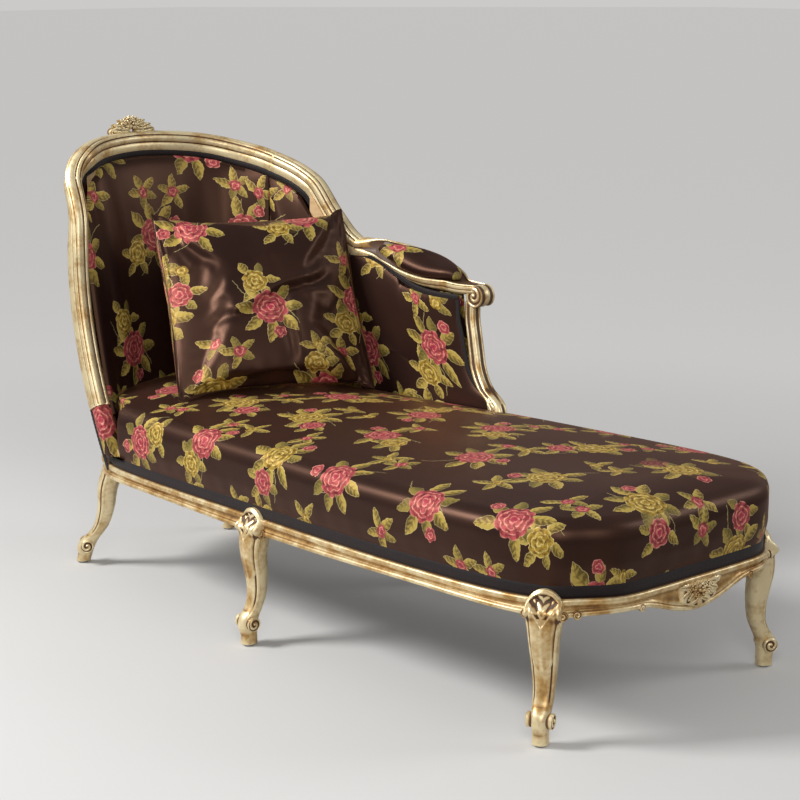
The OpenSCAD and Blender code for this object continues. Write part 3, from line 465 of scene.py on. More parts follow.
@dataclass(frozen=True)
class WoodPath:
    """Path of the show-wood: up the open stile, over the crest and down to the arm."""

    size: Sizes
    shell: BackShell
    step: float = 3.0
    smooth_mm: float = 11.0

    def raw(self, q: Any) -> Array:
        """Points of the path, q from 0 to 1 on the stile and then one per station.

        Args:
            q: Places on the path.

        Returns:
            The points in the bench frame.
        """
        q = np.asarray(q, float)
        low = float(self.shell.share(self.shell.left_at, self.size.stile_z))
        s = self.shell.left_at + np.maximum(q - 1, 0)
        return self.shell.point(s, np.where(q < 1, mix(low, 1, q), 1), 0)

    def q_at(self, s: float) -> float:
        """Place on the path of a station."""
        return s - self.shell.left_at + 1

    @cached_property
    def samples(self) -> dict[str, Array]:
        """Evenly spaced samples of the path with smoothed directions.

        Returns:
            Places, points and the three directions at each.
        """
        q = np.linspace(-0.6, self.q_at(self.shell.arm_at) + 0.35, 4000)
        p = self.raw(q)
        arc = arc_of(p)
        n = int(arc[-1] / self.step)
        even = np.linspace(0, arc[-1], n)
        q = np.interp(even, arc, q)
        p = self._soften(self.raw(q))
        out = self.shell.plan.normal(self.shell.left_at + np.maximum(q - 1, 0))
        out = self._soften(np.concatenate([out, np.zeros((n, 1))], 1))
        along = unit(np.gradient(p, axis=0))
        out = unit(out - (out * along).sum(1, keepdims=True) * along)
        return {"q": q, "p": p, "along": along, "out": out, "up": np.cross(along, out)}

    def _soften(self, rows: Array) -> Array:
        """Rows smoothed along the path with a bell of smooth_mm.

        Args:
            rows: Evenly spaced rows.

        Returns:
            The smoothed rows.
        """
        half = int(3 * self.smooth_mm / self.step)
        bell = np.exp(-0.5 * (np.arange(-half, half + 1) * self.step / self.smooth_mm) ** 2)
        bell /= bell.sum()
        head = 2 * rows[0] - rows[half:0:-1]
        tail = 2 * rows[-1] - rows[-2 : -half - 2 : -1]
        wide = np.concatenate([head, rows, tail])
        return np.stack([np.convolve(wide[:, k], bell, "valid") for k in range(rows.shape[1])], 1)

    def on(self, q: Any, a: Any, b: Any) -> Array:
        """Points beside the path.

        Args:
            q: Places on the path.
            a: Distances outwards from the shell.
            b: Distances towards the free edge.

        Returns:
            The points in the bench frame.
        """
        s = self.samples
        q = np.asarray(q, float)
        at = lambda key: np.stack([np.interp(q, s["q"], s[key][:, k]) for k in range(3)], -1)
        a, b = np.asarray(a, float)[..., None], np.asarray(b, float)[..., None]
        return at("p") + a * at("out") + b * at("up")

    def places(self, low: float, high: float, step: float = 4.0) -> Array:
        """Places from low to high, about step millimetres apart.

        Args:
            low: First place.
            high: Last place.
            step: Spacing.

        Returns:
            The places.
        """
        s = self.samples
        arc = np.arange(len(s["q"])) * self.step
        ends = np.interp([low, high], s["q"], arc)
        even = np.linspace(ends[0], ends[1], max(2, int((ends[1] - ends[0]) / step)))
        return np.interp(even, arc, s["q"])


@dataclass(frozen=True)
class ArmPath:
    """Path of the arm board, which rolls from the moulding's face to a level top."""

    size: Sizes
    wood: WoodPath
    last: float = 7.0

    @cached_property
    def start_q(self) -> float:
        """Place on the show-wood where the arm begins."""
        return self.wood.q_at(self.wood.shell.arm_at)

    @cached_property
    def rows(self) -> Rows:
        """Place of the middle of the face, width, thickness and roll at each step of the arm.

        Returns:
            The curves through them.
        """
        z = self.size
        start = self.wood.on(self.start_q, z.inner_a, -z.wood_w / 2)
        x = lambda t: mix(start[0], z.mid_leg_x - 15, t)
        h = lambda t: mix(start[2], z.arm_front_h, t)
        return Rows(
            [
                (0, *start, z.wood_w, z.wood_t, 0),
                (1, x(0.147), z.mid_half - 4, h(-0.05), z.wood_w + 4, z.wood_t - 6, 12),
                (2, x(0.276), z.mid_half + 2, h(0.08), z.wood_w + 18, z.arm_board_t + 4, 34),
                (3, x(0.431), z.mid_half + 17, h(0.37), z.arm_board_w - 8, z.arm_board_t, 50),
                (4, x(0.6), z.mid_half + 26, h(0.62), z.arm_board_w, z.arm_board_t, 62),
                (5, x(0.755), z.mid_half + 24, h(0.8), z.arm_board_w - 14, z.arm_board_t, 73),
                (6, x(0.87), z.mid_half + 18, h(0.96), z.scroll_w + 4, z.arm_board_t, 82),
                (7, z.mid_leg_x - 15, z.mid_half + 28, z.arm_front_h - 1.5, z.scroll_w - 4, z.arm_board_t - 4, 88),
            ]
        )

    @property
    def scroll(self) -> Array:
        """Middle of the scroll that ends the arm."""
        z = self.size
        return np.array([z.mid_leg_x - 15, z.mid_half + 28, z.arm_front_h - z.scroll_r])

    def on(self, k: Any, u: Any, w: Any) -> Array:
        """Points beside the arm.

        Args:
            k: Steps along the arm, from 0 to 7.
            u: Distances across its face.
            w: Distances out of its face.

        Returns:
            The points in the bench frame.
        """
        k = np.asarray(k, float)
        row = self.rows.at(k)
        ahead, behind = np.minimum(self.last, k + 0.1), k - 0.1
        along = unit(self.rows.at(ahead)[..., :3] - self.rows.at(behind)[..., :3])
        s = self.wood.samples
        pick = lambda key: np.array([np.interp(self.start_q, s["q"], s[key][:, j]) for j in range(3)])
        along = unit(mix(pick("along"), along, ease(k / 0.6)[..., None]))
        n = pick("out")
        side = unit(n - (along @ n)[..., None] * along)
        up = np.cross(along, side)
        r = np.radians(row[..., 5])[..., None]
        u, w = np.asarray(u, float)[..., None], np.asarray(w, float)[..., None]
        return (
            row[..., :3]
            + u * (np.cos(r) * up + np.sin(r) * side)
            + w * (np.sin(r) * up - np.cos(r) * side)
        )


@dataclass(frozen=True)
class PostPath:
    """Path of the curved post that carries the end of the arm."""

    size: Sizes

    @cached_property
    def rows(self) -> Rows:
        """Forward and sideways place and extra width at each height.

        Returns:
            The curves through them.
        """
        return Rows(
            [
                (self.size.rebate_top, 100, -20, 15),
                (400, 97, -20, 14),
                (450, 84, -17, 12),
                (478, 40, -6, 6),
                (515, 8, 5, 3),
                (550, -5, 11, 1),
                (590, -17, 16, 0),
                (630, -30, 22, 0),
                (665, -34, 26, 0),
            ]
        )

    def middle(self, height: Any) -> Array:
        """Middle of the post at a height."""
        row, z = self.rows.at(height), self.size
        return np.stack([z.mid_leg_x + row[..., 0], z.mid_half + row[..., 1], np.asarray(height, float)], -1)

    def width(self, height: Any) -> Array:
        """Width of the post at a height."""
        return self.size.arm_post_t + self.rows.at(height)[..., 2]

    def rear_station(self, shell: BackShell, v: Any) -> Array:
        """Station where the post's rear side stands at shares v of the arm panel's height.

        Args:
            shell: The back's shell.
            v: Shares of the height.

        Returns:
            The stations.
        """
        z = self.size
        height = mix(z.rail_top, float(shell.edge_h(shell.front_at)), np.asarray(v, float))
        height = np.clip(height, z.rebate_top, z.arm_front_h - 20)
        x = self.middle(height)[..., 0] - self.width(height) / 2
        s = np.full(np.shape(v), float(shell.front_at))
        for _ in range(3):
            s = s + (x - shell.point(s, v, 20)[..., 0]) / shell.front_step
        return s


SIZES = Sizes()
PLAN = SeatPlan(SIZES)
SHELL = BackShell(SIZES, PLAN)
WOOD = WoodPath(SIZES, SHELL)
ARM = ArmPath(SIZES, WOOD)
POST = PostPath(SIZES)


def to_frame(points: Array) -> Array:
    """Bench points in millimetres as frame points in metres."""
    return (np.asarray(points, float) - np.array([SIZES.mid_x, SIZES.mid_y, 0.0])) / 1000


# ------------------------------------------------------------------ workbench


MERGE = 2e-5  # metres under which vertices of one surface become one
CARVED_ANGLE = 50  # degrees over which the edges of gilt pieces stay sharp
SOFT_ANGLE = 60  # the same for cloth, braid and foam


class Bench:
    """Modelling steps that the sub-assemblies share."""

    @staticmethod
    def deselect() -> None:
        """Leaves object mode with nothing selected."""
        if bpy.context.object and bpy.context.object.mode != "OBJECT":
            bpy.ops.object.mode_set(mode="OBJECT")
        bpy.ops.object.select_all(action="DESELECT")

    @staticmethod
    def pick(obj: bpy.types.Object) -> None:
        """Makes obj the only selected and the active object.

        Args:
            obj: The piece.
        """
        Bench.deselect()
        obj.select_set(True)
        bpy.context.view_layer.objects.active = obj

    @staticmethod
    def skin(
        name: str, points: Array, uv: Array | None = None, closed: bool = True, frame_points: bool = False
    ) -> bpy.types.Object:
        """Surface through rows of points, closed into a solid where its borders meet.

        Args:
            name: Name of the piece.
            points: Rows of points, in bench millimetres.
            uv: Pattern place of each point in metres, or None for none.
            closed: Whether open ends are capped and normals turned outwards.
            frame_points: Whether the points are frame metres already.

        Returns:
            The piece.
        """
        rows, cols = points.shape[:2]
        Bench.deselect()
        bpy.ops.mesh.primitive_grid_add(x_subdivisions=cols - 1, y_subdivisions=rows - 1, size=2)
        obj = bpy.context.object
        obj.name = obj.data.name = name
        flat = (points if frame_points else to_frame(points)).reshape(-1, 3)
        obj.data.vertices.foreach_set("co", flat.astype(np.float32).ravel())
        if uv is not None:
            corner = np.zeros(len(obj.data.loops), np.int32)
            obj.data.loops.foreach_get("vertex_index", corner)
            obj.data.uv_layers[0].data.foreach_set("uv", uv.reshape(-1, 2)[corner].astype(np.float32).ravel())
        bpy.ops.object.mode_set(mode="EDIT")
        bpy.ops.mesh.select_all(action="SELECT")
        bpy.ops.mesh.remove_doubles(threshold=MERGE)
        if closed:
            bpy.ops.mesh.select_all(action="DESELECT")
            bpy.ops.mesh.select_mode(type="EDGE")
            bpy.ops.mesh.select_non_manifold(
                extend=False, use_wire=True, use_multi_face=False, use_non_contiguous=False, use_verts=False
            )
            bpy.ops.mesh.edge_face_add()
            bpy.ops.mesh.select_mode(type="VERT")
            bpy.ops.mesh.select_all(action="SELECT")
            bpy.ops.mesh.dissolve_degenerate(threshold=1e-6)
            bpy.ops.mesh.normals_make_consistent(inside=False)
        bpy.ops.object.mode_set(mode="OBJECT")
        return obj

    @staticmethod
    def tube(name: str, rings: Array, uv: Array | None = None) -> bpy.types.Object:
        """Solid through rings of points, capped at both ends.

        Args:
            name: Name of the piece.
            rings: One ring of points to a row, not repeating its first point.
            uv: Pattern place of each point and of the repeated first, or None.

        Returns:
            The piece.
        """
        obj = Bench.skin(name, np.concatenate([rings, rings[:, :1]], 1), uv, closed=False)
        bpy.ops.object.mode_set(mode="EDIT")
        mesh = bmesh.from_edit_mesh(obj.data)
        rim = {e for e in mesh.edges if e.is_boundary}
        while rim:
            loop = {rim.pop()}
            grown = loop
            while grown:
                grown = {e for f in grown for v in f.verts for e in v.link_edges} & rim
                rim -= grown
                loop |= grown
            bmesh.ops.contextual_create(mesh, geom=list(loop))
        bmesh.update_edit_mesh(obj.data)
        bpy.ops.mesh.select_all(action="SELECT")
        bpy.ops.mesh.normals_make_consistent(inside=False)
        bpy.ops.object.mode_set(mode="OBJECT")
        return obj

    @staticmethod
    def join(name: str, parts: Sequence[bpy.types.Object]) -> bpy.types.Object:
        """Several meshes as one piece.

        Args:
            name: Name of the joined piece.
            parts: The meshes.

        Returns:
            The joined piece.
        """
        Bench.pick(parts[0])
        for part in parts[1:]:
            part.select_set(True)
        if len(parts) > 1:
            bpy.ops.object.join()
        obj = bpy.context.object
        obj.name = obj.data.name = name
        return obj

    @staticmethod
    def smooth(obj: bpy.types.Object, degrees: float = 40) -> None:
        """Shades obj smooth, but for edges sharper than an angle."""
        Bench.pick(obj)
        bpy.ops.object.shade_smooth_by_angle(angle=math.radians(degrees))

    @staticmethod
    def modify(obj: bpy.types.Object, kind: str, **settings: Any) -> None:
        """Adds a modifier to obj and applies it.

        Args:
            obj: The piece.
            kind: Type of the modifier.
            settings: Its settings by name.
        """
        Bench.pick(obj)
        modifier = obj.modifiers.new(kind.title(), kind)
        for key, value in settings.items():
            setattr(modifier, key, value)
        bpy.ops.object.modifier_apply(modifier=modifier.name)

    @staticmethod
    def coords(obj: bpy.types.Object) -> Array:
        """Vertex places of obj in frame metres.

        Args:
            obj: The piece.

        Returns:
            A row for each vertex.
        """
        co = np.zeros(len(obj.data.vertices) * 3, np.float32)
        obj.data.vertices.foreach_get("co", co)
        return co.reshape(-1, 3).astype(float)

    @staticmethod
    def move(obj: bpy.types.Object, points: Array) -> None:
        """Sets the vertex places of obj in frame metres."""
        obj.data.vertices.foreach_set("co", points.astype(np.float32).ravel())
        obj.data.update()

    @staticmethod
    def copy(source: bpy.types.Object, place: Matrix) -> bpy.types.Object:
        """Copy of a model with its own mesh, moved to a place.

        Args:
            source: The model, which stays.
            place: Where the copy goes, in frame metres.

        Returns:
            The copy.
        """
        made = bpy.data.objects.new(source.name + "_copy", source.data.copy())
        bpy.context.collection.objects.link(made)
        made.data.transform(place)
        if place.determinant() < 0:
            made.data.flip_normals()
        return made

    @staticmethod
    def discard(*objs: bpy.types.Object) -> None:
        """Removes models that were only copied."""
        for obj in objs:
            bpy.data.objects.remove(obj, do_unlink=True)

    @staticmethod
    def mark_carving(obj: bpy.types.Object, reach: int = 3, depth: float = 0.0006) -> None:
        """Writes how hollow the surface is at each vertex, for the glaze and for the gilt's painted highlight and
        shade.

        Args:
            obj: The piece.
            reach: Rounds of smoothing that the surface is held against.
            depth: Depth in metres that counts as fully hollow.
        """
        mesh = obj.data
        n = len(mesh.vertices)
        edges = np.zeros(len(mesh.edges) * 2, np.int32)
        mesh.edges.foreach_get("vertices", edges)
        a, b = edges[::2], edges[1::2]
        normal = np.zeros(n * 3, np.float32)
        mesh.vertices.foreach_get("normal", normal)
        base = Bench.coords(obj)
        count = np.maximum(np.bincount(np.concatenate([a, b]), minlength=n), 1)
        soft = base
        for _ in range(reach):
            soft = np.stack(
                [
                    np.bincount(np.concatenate([a, b]), np.concatenate([soft[b, k], soft[a, k]]), n) / count
                    for k in range(3)
                ],
                1,
            )
        hollow = ((soft - base) * normal.reshape(-1, 3)).sum(1) / depth
        layer = mesh.attributes.new("hollow", "FLOAT", "POINT")
        layer.data.foreach_set("value", np.clip(hollow, -1, 1).astype(np.float32))


# ------------------------------------------------------------------- finishes


FULL_TURN = 6.2832


def tint(hex_code: str) -> tuple[float, float, float, float]:
    """Screen colour such as '8a6b4c' as a linear colour.

    Args:
        hex_code: Six digits, two to a channel.

    Returns:
        Red, green, blue and alpha.
    """
    parts = [int(hex_code[k : k + 2], 16) / 255 for k in (0, 2, 4)]
    linear = [c / 12.92 if c <= 0.04045 else ((c + 0.055) / 1.055) ** 2.4 for c in parts]
    return (*linear, 1.0)


class Number:
    """A number socket whose arithmetic adds Math nodes."""

    def __init__(self, tree: "Shader", socket: Any) -> None:
        """Keeps the tree and the socket."""
        self.tree, self.socket = tree, socket

    def maths(self, operation: str, *others: Any) -> "Number":
        """Result of a Math node with this number as its first value."""
        made = self.tree.node("Math", {"operation": operation}, dict(enumerate((self, *others))))
        return Number(self.tree, made.outputs[0])

    def __add__(self, other: Any) -> "Number":
        """Sum."""
        return self.maths("ADD", other)

    __radd__ = __add__

    def __sub__(self, other: Any) -> "Number":
        """Difference."""
        return self.maths("SUBTRACT", other)

    def __rsub__(self, other: Any) -> "Number":
        """Difference from a number."""
        return self.maths("MULTIPLY_ADD", -1.0, other)

    def __mul__(self, other: Any) -> "Number":
        """Product."""
        return self.maths("MULTIPLY", other)

    __rmul__ = __mul__

    def __truediv__(self, other: Any) -> "Number":
        """Quotient."""
        return self.maths("DIVIDE", other)

    def __pow__(self, other: Any) -> "Number":
        """Power."""
        return self.maths("POWER", other)

    def step(self, low: float, high: float) -> "Number":
        """Smooth step from 0 at low to 1 at high.

        Args:
            low: Where it starts.
            high: Where it ends.

        Returns:
            The stepped number.
        """
        made = self.tree.node(
            "MapRange",
            {"interpolation_type": "SMOOTHSTEP"},
            {0: self, 1: low, 2: high, 3: 0.0, 4: 1.0},
        )
        return Number(self.tree, made.outputs[0])

    def clamp(self) -> "Number":
        """The number kept from 0 to 1."""
        return Number(self.tree, self.tree.node("Clamp", {}, {0: self}).outputs[0])


class Shader:
    """A material and the few ways in which its nodes are added."""

    def __init__(self, name: str) -> None:
        """Starts a material with a Principled surface.

        Args:
            name: Name of the finish.
        """
        self.material = bpy.data.materials.new(name)
        self.material.use_nodes = True
        self.tree = self.material.node_tree
        self.tree.nodes.clear()
        self.surface = self.node("BsdfPrincipled", {}, {})
        self.node("OutputMaterial", {}, {"Surface": self.surface.outputs[0]})

    def node(self, kind: str, settings: dict[str, Any], inputs: dict[Any, Any]) -> bpy.types.Node:
        """Any node.

        Args:
            kind: Type of the node without its ShaderNode prefix.
            settings: Its own settings, set first; "stops" are a ramp's places and colours.
            inputs: Values or links of its sockets, by name or number.

        Returns:
            The node.
        """
        made = self.tree.nodes.new("ShaderNode" + kind)
        for key, value in settings.items():
            if key == "stops":
                stops = made.color_ramp.elements
                while len(stops) < len(value):
                    stops.new(0.5)
                for stop, (place, colour) in zip(stops, value):
                    stop.position, stop.color = place, colour
            else:
                setattr(made, key, value)
        for key, value in inputs.items():
            self.feed(made.inputs[key], value)
        return made

    def feed(self, target: bpy.types.NodeSocket, value: Any) -> None:
        """Links a number or a socket to a target, or sets the target to a value.

        Args:
            target: The socket.
            value: What it gets.
        """
        if isinstance(value, Number):
            value = value.socket
        if isinstance(value, bpy.types.NodeSocket):
            self.tree.links.new(value, target)
        else:
            target.default_value = value

    def number(self, kind: str, settings: dict[str, Any], inputs: dict[Any, Any], output: Any = 0) -> Number:
        """A number that a node gives."""
        return Number(self, self.node(kind, settings, inputs).outputs[output])

    def noise(self, where: Any, scale: float, detail: float = 2.0, flat: bool = False) -> Number:
        """Noise from 0 to 1 at a place."""
        kind = {"noise_dimensions": "2D" if flat else "3D"}
        return self.number("TexNoise", kind, {"Vector": where, "Scale": scale, "Detail": detail})

    def split(self, where: Any) -> tuple[Number, Number]:
        """The x and y of a place."""
        parts = self.node("SeparateXYZ", {}, {0: where}).outputs
        return Number(self, parts[0]), Number(self, parts[1])

    def stretch(self, where: Any, scale: tuple[float, float, float]) -> Any:
        """Place stretched by a scale."""
        return self.node("Mapping", {}, {"Vector": where, "Scale": scale}).outputs[0]

    def luck(self, x: Any, y: Any, z: Any) -> bpy.types.Node:
        """Random value and colour that belong to three numbers."""
        key = self.node("CombineXYZ", {}, {0: x, 1: y, 2: z}).outputs[0]
        return self.node("TexWhiteNoise", {"noise_dimensions": "3D"}, {"Vector": key})

    def blend(self, share: Any, low: Any, high: Any) -> Any:
        """Colour between two colours at a share."""
        made = self.node("Mix", {"data_type": "RGBA"}, {0: share, 6: low, 7: high})
        return made.outputs[2]

    def bump(self, height: Any, strength: float, distance: float, under: Any = None) -> Any:
        """Normal of a surface raised by a height.

        Args:
            height: The height.
            strength: Share of its effect.
            distance: Height in metres at 1.
            under: Normal that it adds to, or None.

        Returns:
            The normal.
        """
        inputs = {"Height": height, "Strength": strength, "Distance": distance}
        if under is not None:
            inputs["Normal"] = under
        return self.node("Bump", {}, inputs).outputs[0]

    def place(self) -> Any:
        """Object coordinates."""
        return self.node("TexCoord", {}, {}).outputs["Object"]

    def pattern(self) -> Any:
        """The piece's own pattern coordinates, in metres."""
        return self.node("UVMap", {"uv_map": "UVMap"}, {}).outputs[0]

    def set(self, **sockets: Any) -> None:
        """Sets or links sockets of the surface, spaces written as underscores."""
        for key, value in sockets.items():
            self.feed(self.surface.inputs[key.replace("_", " ")], value)


@dataclass(frozen=True)
class GiltFinish:
    """Champagne leaf over carved wood, with a brown glaze left in its hollows; its tone is painted lighter on ridges as
    highlight and darker in hollows as shade.
    """

    light: str = "ecd9ac"
    leaf: str = "bb9355"
    deep: str = "80572a"
    glaze: str = "43270f"

    def make(self) -> bpy.types.Material:
        """The material.

        Returns:
            The material.
        """
        s = Shader("gilt_leaf")
        at = s.place()
        hollow = s.number("Attribute", {"attribute_name": "hollow"}, {}, "Fac").maths("MAXIMUM", -0.35)
        cloud = s.noise(at, 21.0, 5.0)
        brush = s.noise(at, 120.0, 2.0)
        # Painted highlight and shade: the tone rises on convex ridges towards the light stop and falls in hollows
        # towards the deep stop.
        tone = (cloud + brush * 0.3 - 0.12 - hollow * 0.5).clamp()
        ramp = s.node(
            "ValToRGB",
            {"stops": [(0.26, tint(self.deep)), (0.48, tint(self.leaf)), (0.74, tint(self.light))]},
            {0: tone},
        ).outputs[0]
        glaze = (hollow * 2.5 - 0.08 + (cloud - 0.5) * 0.7).step(0.0, 0.8)
        s.set(
            Base_Color=s.blend(glaze * 0.88, ramp, tint(self.glaze)),
            Metallic=(1 - glaze) * 0.5,
            Roughness=(0.33 + brush * 0.12 + glaze * 0.25),
            Normal=s.bump(brush, 0.25, 0.0006),
            Coat_Weight=0.15,
            Coat_Roughness=0.3,
        )
        return s.material


@dataclass(frozen=True)
class BrocadeFinish:
    """Dark brown satin woven with sprays of pink and golden roses."""

    across: float = 0.245
    along: float = 0.228
    ground: str = "1b1013"
    weft: str = "2e1c18"
    pink: tuple[str, str, str] = ("641827", "bd5358", "e6ab90")
    gold: tuple[str, str, str] = ("5f4814", "b99a3e", "e3d18c")
    leaf: tuple[str, str] = ("574b22", "b39c4c")
    stray_weave: float = 0.012
    border: float = 0.009

    def make(self) -> bpy.types.Material:
        """The material.

        Returns:
            The material.
        """
        s = Shader("rose_brocade")
        uv = s.pattern()
        settings = {"Vector": uv, "Scale": 42.0, "Detail": 4.0, "Roughness": 0.62}
        warp = s.node("TexNoise", {"noise_dimensions": "2D"}, settings).outputs["Color"]
        shift = s.node("VectorMath", {"operation": "SUBTRACT"}, {0: warp, 1: (0.5, 0.5, 0.5)}).outputs[0]
        bent = {0: shift, 1: (self.stray_weave, self.stray_weave, 0.0), 2: uv}
        flat = s.node("VectorMath", {"operation": "MULTIPLY_ADD"}, bent).outputs[0]
        fleck = s.noise(uv, 420.0, 1.0, flat=True)

        colour = s.blend(s.noise(uv, 9.0, 2.0, flat=True), tint(self.ground), tint(self.weft))
        layers = []
        for seed, share in ((11.0, 0.5), (23.0, 0.25)):
            layers += self._sprig(s, flat, seed, (self.across * share, self.along * 0.5))
        layers += self._spray(s, flat)
        woven = layers[0][0]
        for mask, paint in layers:
            colour = s.blend(mask, colour, paint)
            woven = woven.maths("MAXIMUM", mask)
        thread = s.noise(s.stretch(uv, (260.0, 1300.0, 1.0)), 1.0, 1.0, flat=True)
        raised = woven * (0.7 + fleck * 0.5)
        rib = s.bump(thread, 0.12, 0.0004)
        s.set(
            Base_Color=colour,
            Metallic=0.3 - woven * 0.22,
            Roughness=0.42 + woven * 0.12 + (fleck - 0.5) * 0.12,
            Normal=s.bump(raised, 0.35, 0.0006, rib),
            Specular_IOR_Level=0.8,
            Specular_Tint=tint("f2b690"),
            Sheen_Weight=0.16,
            Sheen_Roughness=0.4,
            Sheen_Tint=tint("b9805f"),
            Anisotropic=0.4,
        )
        return s.material

    def _cell(
        self, s: Shader, where: Any, seed: float, offset: tuple[float, float], stray: float
    ) -> tuple[Number, Number, list[Number], Number]:
        """Cell of a brick lattice and the turned place in it.

        Args:
            s: The shader.
            where: Place on the cloth.
            seed: Number that tells lattices apart.
            offset: Shift of the lattice in metres.
            stray: How far a motif may stand off its cell's middle.

        Returns:
            The x and y place in the cell, its random numbers and a fade at its border.
        """
        wide, high = self.across, self.along
        x, y = s.split(where)
        x, y = x + offset[0], y + offset[1]
        row = (y / high).maths("FLOOR")
        shifted = x / wide + row * 0.5
        col = shifted.maths("FLOOR")
        here_x = (shifted - col - 0.5) * wide
        here_y = (y / high - row - 0.5) * high
        luck: list[Number] = []
        for k in range(2):
            rolled = s.luck(col, row, seed + 3.7 * k).outputs["Color"]
            luck += [Number(s, o) for o in s.node("SeparateColor", {}, {0: rolled}).outputs]
        inside = (wide / 2 - here_x.maths("ABSOLUTE")).maths("MINIMUM", high / 2 - here_y.maths("ABSOLUTE"))
        fade = inside.step(0.0, self.border)
        off = {0: here_x - (luck[0] - 0.5) * stray, 1: here_y - (luck[1] - 0.5) * stray}
        turn = {"Vector": s.node("CombineXYZ", {}, off).outputs[0], "Angle": luck[2] * 6.283}
        x, y = s.split(s.node("VectorRotate", {"rotation_type": "Z_AXIS"}, turn).outputs[0])
        return x, y, luck, fade

    @staticmethod
    def _polar(x: Number, y: Number, middle: tuple[float, float]) -> tuple[Number, Number]:
        """Radius and angle round a middle."""
        dx, dy = x - middle[0], y - middle[1]
        return (dx * dx + dy * dy).maths("SQRT"), dy.maths("ARCTAN2", dx)

    def _rose(
        self, s: Shader, x: Number, y: Number, middle: tuple[float, float], radius: Any, warm: Any, turns: float
    ) -> tuple[Number, Any]:
        """A rose of rings of petals with pale rims.

        Args:
            s: The shader.
            x: Place in the cell.
            y: Place in the cell.
            middle: Middle of the rose.
            radius: Its radius in metres.
            warm: 1 for a pink rose and 0 for a golden one.
            turns: Rounds of petals.

        Returns:
            Its mask and its colour.
        """
        r, angle = self._polar(x, y, middle)
        r = r / radius
        ring = (r * turns).maths("FLOOR")
        fan = angle / FULL_TURN * (ring * 2.0 + 3.0) + ring * 0.37
        petal = fan - fan.maths("FLOOR")
        bow = 1 - (petal * 2 - 1) * (petal * 2 - 1)
        across = r * turns - ring
        rim = across - bow * 0.42
        mask = ((bow - 1) * 0.13 + 1 - r).step(0.0, 0.05)
        blot = s.noise(s.pattern(), 95.0, 3.0, flat=True)
        light = (across * 0.55 + bow * 0.35 - 0.95 + blot * 2.0).clamp()
        line = rim.step(0.28, 0.42) * (1 - rim.step(0.5, 0.66)) * (blot * 2.6 - 0.75).clamp()
        heart = 1 - r.step(0.05, 0.42)
        warm_paint = s.blend(light, tint(self.pink[0]), tint(self.pink[1]))
        warm_paint = s.blend(heart * 0.6, warm_paint, tint("a92247"))
        warm_paint = s.blend(line * 0.85, warm_paint, tint(self.pink[2]))
        cool_paint = s.blend(light, tint(self.gold[0]), tint(self.gold[1]))
        cool_paint = s.blend(line * 0.9, cool_paint, tint(self.gold[2]))
        return mask, s.blend(warm, cool_paint, warm_paint)

    def _leaves(
        self,
        s: Shader,
        x: Number,
        y: Number,
        middle: tuple[float, float],
        count: int,
        start: float,
        length: float,
        half: float,
        luck: Number,
        turn: float,
    ) -> tuple[Number, Any]:
        """A ring of pointed leaves, some of them missing.

        Args:
            s: The shader.
            x: Place in the cell.
            y: Place in the cell.
            middle: Middle of the ring.
            count: Number of leaves.
            start: Distance from the middle to their feet.
            length: Greatest length of a leaf.
            half: Greatest half width of a leaf.
            luck: Random number of the cell.
            turn: Turn of the ring in shares of a leaf.

        Returns:
            Their mask and their colour.
        """
        r, angle = self._polar(x, y, middle)
        fan = angle * (count / FULL_TURN) + turn + luck
        index = fan.maths("FLOOR")
        chance = Number(s, s.luck(index.maths("WRAP", count, 0.0), luck * 91.0, turn).outputs["Value"])
        reach = (0.6 + chance * 0.4) * length
        u = (r - start) / reach
        side = (fan - index - 0.5) * r * (FULL_TURN / count) + (chance - 0.5) * u * u * 0.02
        hump = (u * (1 - u) * 4).clamp() ** 0.75
        edge = hump * half * (1.05 - u * 0.35) - side.maths("ABSOLUTE")
        mask = edge.step(0.0, 0.0012) * chance.step(0.17, 0.18)
        vein = 1 - side.maths("ABSOLUTE").step(0.0004, 0.0014)
        ribs = ((u * 26.0) - side.maths("ABSOLUTE") * 500.0).maths("SINE") * 0.25 + 0.25
        tone = (side * 75.0 + 0.3 + ribs * 1.3).clamp()
        paint = s.blend(tone, tint(self.leaf[0]), tint(self.leaf[1]))
        paint = s.blend(vein * 0.6, paint, tint("564a1c"))
        paint = s.blend((0.62 - chance).clamp() * 1.5, paint, tint("5f5a2c"))
        rim = (1 - edge.step(0.0008, 0.0024)) * (0.2 + chance * 0.6)
        return mask, s.blend(rim, paint, tint("dcc888"))

    def _sprig(self, s: Shader, flat: Any, seed: float, offset: tuple[float, float]) -> list[tuple[Number, Any]]:
        """Small sprigs that fill the ground between the sprays.

        Args:
            s: The shader.
            flat: Place on the cloth.
            seed: Number that tells lattices apart.
            offset: Shift of the lattice in metres.

        Returns:
            Masks and colours, the lowest first.
        """
        x, y, luck, fade = self._cell(s, flat, seed, offset, 0.03)
        shown = luck[3].step(0.12, 0.13) * fade
        leaf, leaf_paint = self._leaves(s, x, y, (0.0, 0.0), 5, 0.005, 0.050, 0.0125, luck[4], 0.3)
        bud, bud_paint = self._rose(s, x, y, (0.0, 0.0), 0.0150, luck[5].step(0.45, 0.46), 1.6)
        return [(leaf * shown, leaf_paint), (bud * shown, bud_paint)]

